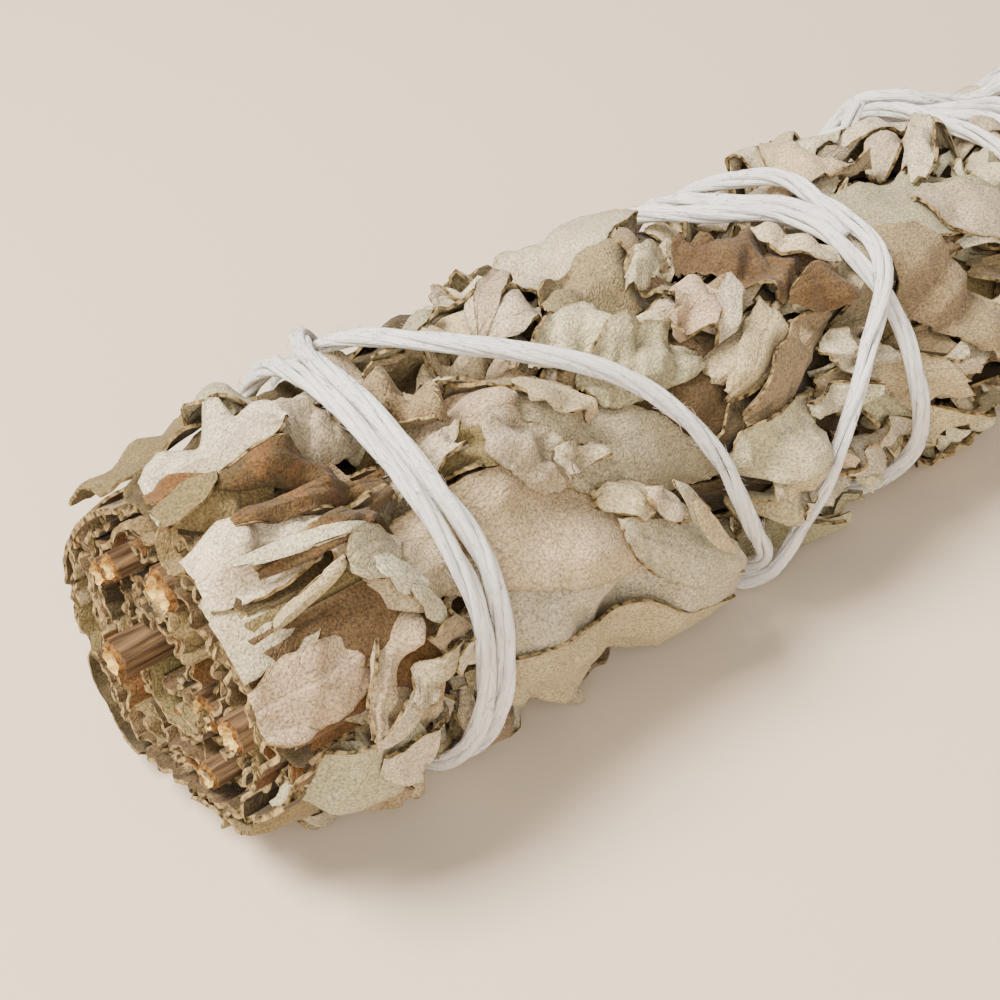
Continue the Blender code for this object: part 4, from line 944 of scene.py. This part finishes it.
# Cotton string
# One soft white cotton twine of seven yarns, laid together with a long lazy twist, which binds the leaves.
# It follows the route over its earlier strands, and its cut end stands up from the leaves as a stub.
YARNS = 7
YARN_RADIUS = 0.3
YARN_RING = 0.45
YARN_SIDES = 8
YARN_THICKEST = 2.6 * YARN_RADIUS
TWIST_LENGTH = 30.0
STUB_HEIGHT = 2.3
STUB_LEAN = 0.75
path = to_space(route[:, 0], route[:, 1], string_radii)
onward = (path[-1] - path[-2]) / np.linalg.norm(path[-1] - path[-2])
outward = path[-1] * (0.0, 1.0, 1.0) / np.linalg.norm(path[-1][1:])
stub = [path[-1] + (outward + STUB_LEAN * onward) * lift * STUB_HEIGHT for lift in (0.33, 0.66, 1.0)]
path = np.vstack([path, stub])
along = np.gradient(path, axis=0)
along /= np.linalg.norm(along, axis=1, keepdims=True)
outward = path * (0.0, 1.0, 1.0)
outward -= along * (outward * along).sum(axis=1, keepdims=True)
outward /= np.linalg.norm(outward, axis=1, keepdims=True)
sideward = np.cross(along, outward)
distance = np.concatenate([[0.0], np.cumsum(np.linalg.norm(np.diff(path, axis=0), axis=1))])


def closed_tubes(name, lines, radii, sides):
    """Closed round tubes along many lines, in one mesh, with each one's length and turn as its UV."""
    points, faces, corners_uv = [], [], []
    first = 0
    turns = 2 * math.pi * np.arange(sides) / sides
    for line, radius in zip(lines, radii):
        way = np.gradient(line, axis=0)
        way /= np.linalg.norm(way, axis=1, keepdims=True)
        aside = np.cross(way, (0.31, 0.52, 0.79))
        aside /= np.linalg.norm(aside, axis=1, keepdims=True)
        above = np.cross(way, aside)
        ring = np.cos(turns)[None, :, None] * aside[:, None] + np.sin(turns)[None, :, None] * above[:, None]
        points.append((line[:, None] + ring * np.asarray(radius).reshape(-1, 1, 1)).reshape(-1, 3))
        run = np.concatenate([[0.0], np.cumsum(np.linalg.norm(np.diff(line, axis=0), axis=1))])
        for i in range(len(line) - 1):
            for j in range(sides):
                a, b = first + i * sides + j, first + i * sides + (j + 1) % sides
                faces.append((a, b, b + sides, a + sides))
                low, high = j / sides, (j + 1) / sides
                corners_uv += [run[i], low, run[i], high, run[i + 1], high, run[i + 1], low]
        last = first + (len(line) - 1) * sides
        faces.append(tuple(first + j for j in range(sides - 1, -1, -1)))
        faces.append(tuple(last + j for j in range(sides)))
        corners_uv += [0.0, 0.0] * (2 * sides)
        first += len(line) * sides
    mesh = bpy.data.meshes.new(name)
    mesh.from_pydata((np.vstack(points) * MM).tolist(), [], faces)
    mesh.uv_layers.new(name="yarn").data.foreach_set("uv", corners_uv)
    made = new_object(name, mesh)
    face_outwards(made)
    mesh.shade_smooth()
    return made


yarns = []
thick = []
for yarn in range(YARNS):
    uneven = np.sin(distance / 1.9 + 1.7 * yarn) * np.sin(distance / 5.3 + yarn)
    thick.append(YARN_RADIUS * (1.0 + 0.16 * uneven))
    wander = 0.35 * np.sin(distance / 4.3 + 2.4 * yarn)
    turn = 2 * math.pi * (distance / TWIST_LENGTH + yarn / YARNS) + wander
    loose = YARN_RING * (1.0 + 0.14 * np.sin(distance / 3.1 + 2 * yarn))
    yarn_line = path + loose[:, None] * (np.cos(turn)[:, None] * outward + np.sin(turn)[:, None] * sideward)
    yarns.append(on_floor(yarn_line, YARN_THICKEST))
string = closed_tubes("cotton_twine", yarns, thick, YARN_SIDES)
# Undyed cotton: soft white yarn of fine fibres that wind along it, drawn about 0.1 mm apart so that they
# show.
cotton, tree, shader = new_material("soft_white_cotton", 1.0, 0.5)
wound = add_node(tree, "UVMap", uv_map="yarn").outputs["UV"]
drawn = add_node(tree, "Mapping", {"Vector": wound}, in_2=(0.0, 0.0, 0.15), in_3=(0.5, 14.0, 1.0))
fibre = add_node(tree, "TexNoise", {"Vector": drawn.outputs[0]}, in_2=1.4, in_3=3.0).outputs["Fac"]
mixed = add_node(tree, "Mix", {0: fibre}, data_type="RGBA", in_6=hex_colour("#f3ece2"),
                 in_7=hex_colour("#ffffff"))
tree.links.new(mixed.outputs[2], shader.inputs["Base Color"])
raised = add_node(tree, "Bump", {"Height": fibre}, in_1=0.0003)
tree.links.new(raised.outputs[0], shader.inputs["Normal"])
string.data.materials.append(cotton)
settle(string, "cotton_string")

# Cotton fuzz
# Loose fibres of the same cotton stand off the twine by up to half a millimetre, and slant along it. They
# are thin three-sided tubes that start inside the yarns.
FIBRE_COUNT = 7500
FIBRE_FOOT = 0.6
FIBRE_REACH = (0.1, 0.45)
FIBRE_SLIDE = 1.2
FIBRE_DRIFT = 0.5
FIBRE_RADII = (0.026, 0.02, 0.008)
FIBRE_THICKNESS = 0.06
fibres = []
for _ in range(FIBRE_COUNT):
    at = rng.integers(3, len(path) - 8)
    turn = rng.uniform(0, 2 * math.pi)
    out = math.cos(turn) * outward[at] + math.sin(turn) * sideward[at]
    reach = rng.uniform(*FIBRE_REACH)
    foot = path[at] + out * FIBRE_FOOT
    slide = along[at] * rng.uniform(-FIBRE_SLIDE, FIBRE_SLIDE)
    drift = np.cross(along[at], out) * rng.uniform(-FIBRE_DRIFT, FIBRE_DRIFT)
    fibre = np.array([foot, foot + out * reach * 0.6 + slide * 0.5, foot + out * reach + slide + drift])
    fibres.append(on_floor(fibre, FIBRE_THICKNESS))
fuzz = closed_tubes("cotton_fuzz", fibres, [FIBRE_RADII] * len(fibres), 3)
fuzz.data.materials.append(cotton)
settle(fuzz, None)

# Clearing up
# The blank sheets go.
for blank in (large_blank, cover_blank, middle_blank, small_blank, inner_blank):
    bpy.data.meshes.remove(blank["mesh"])
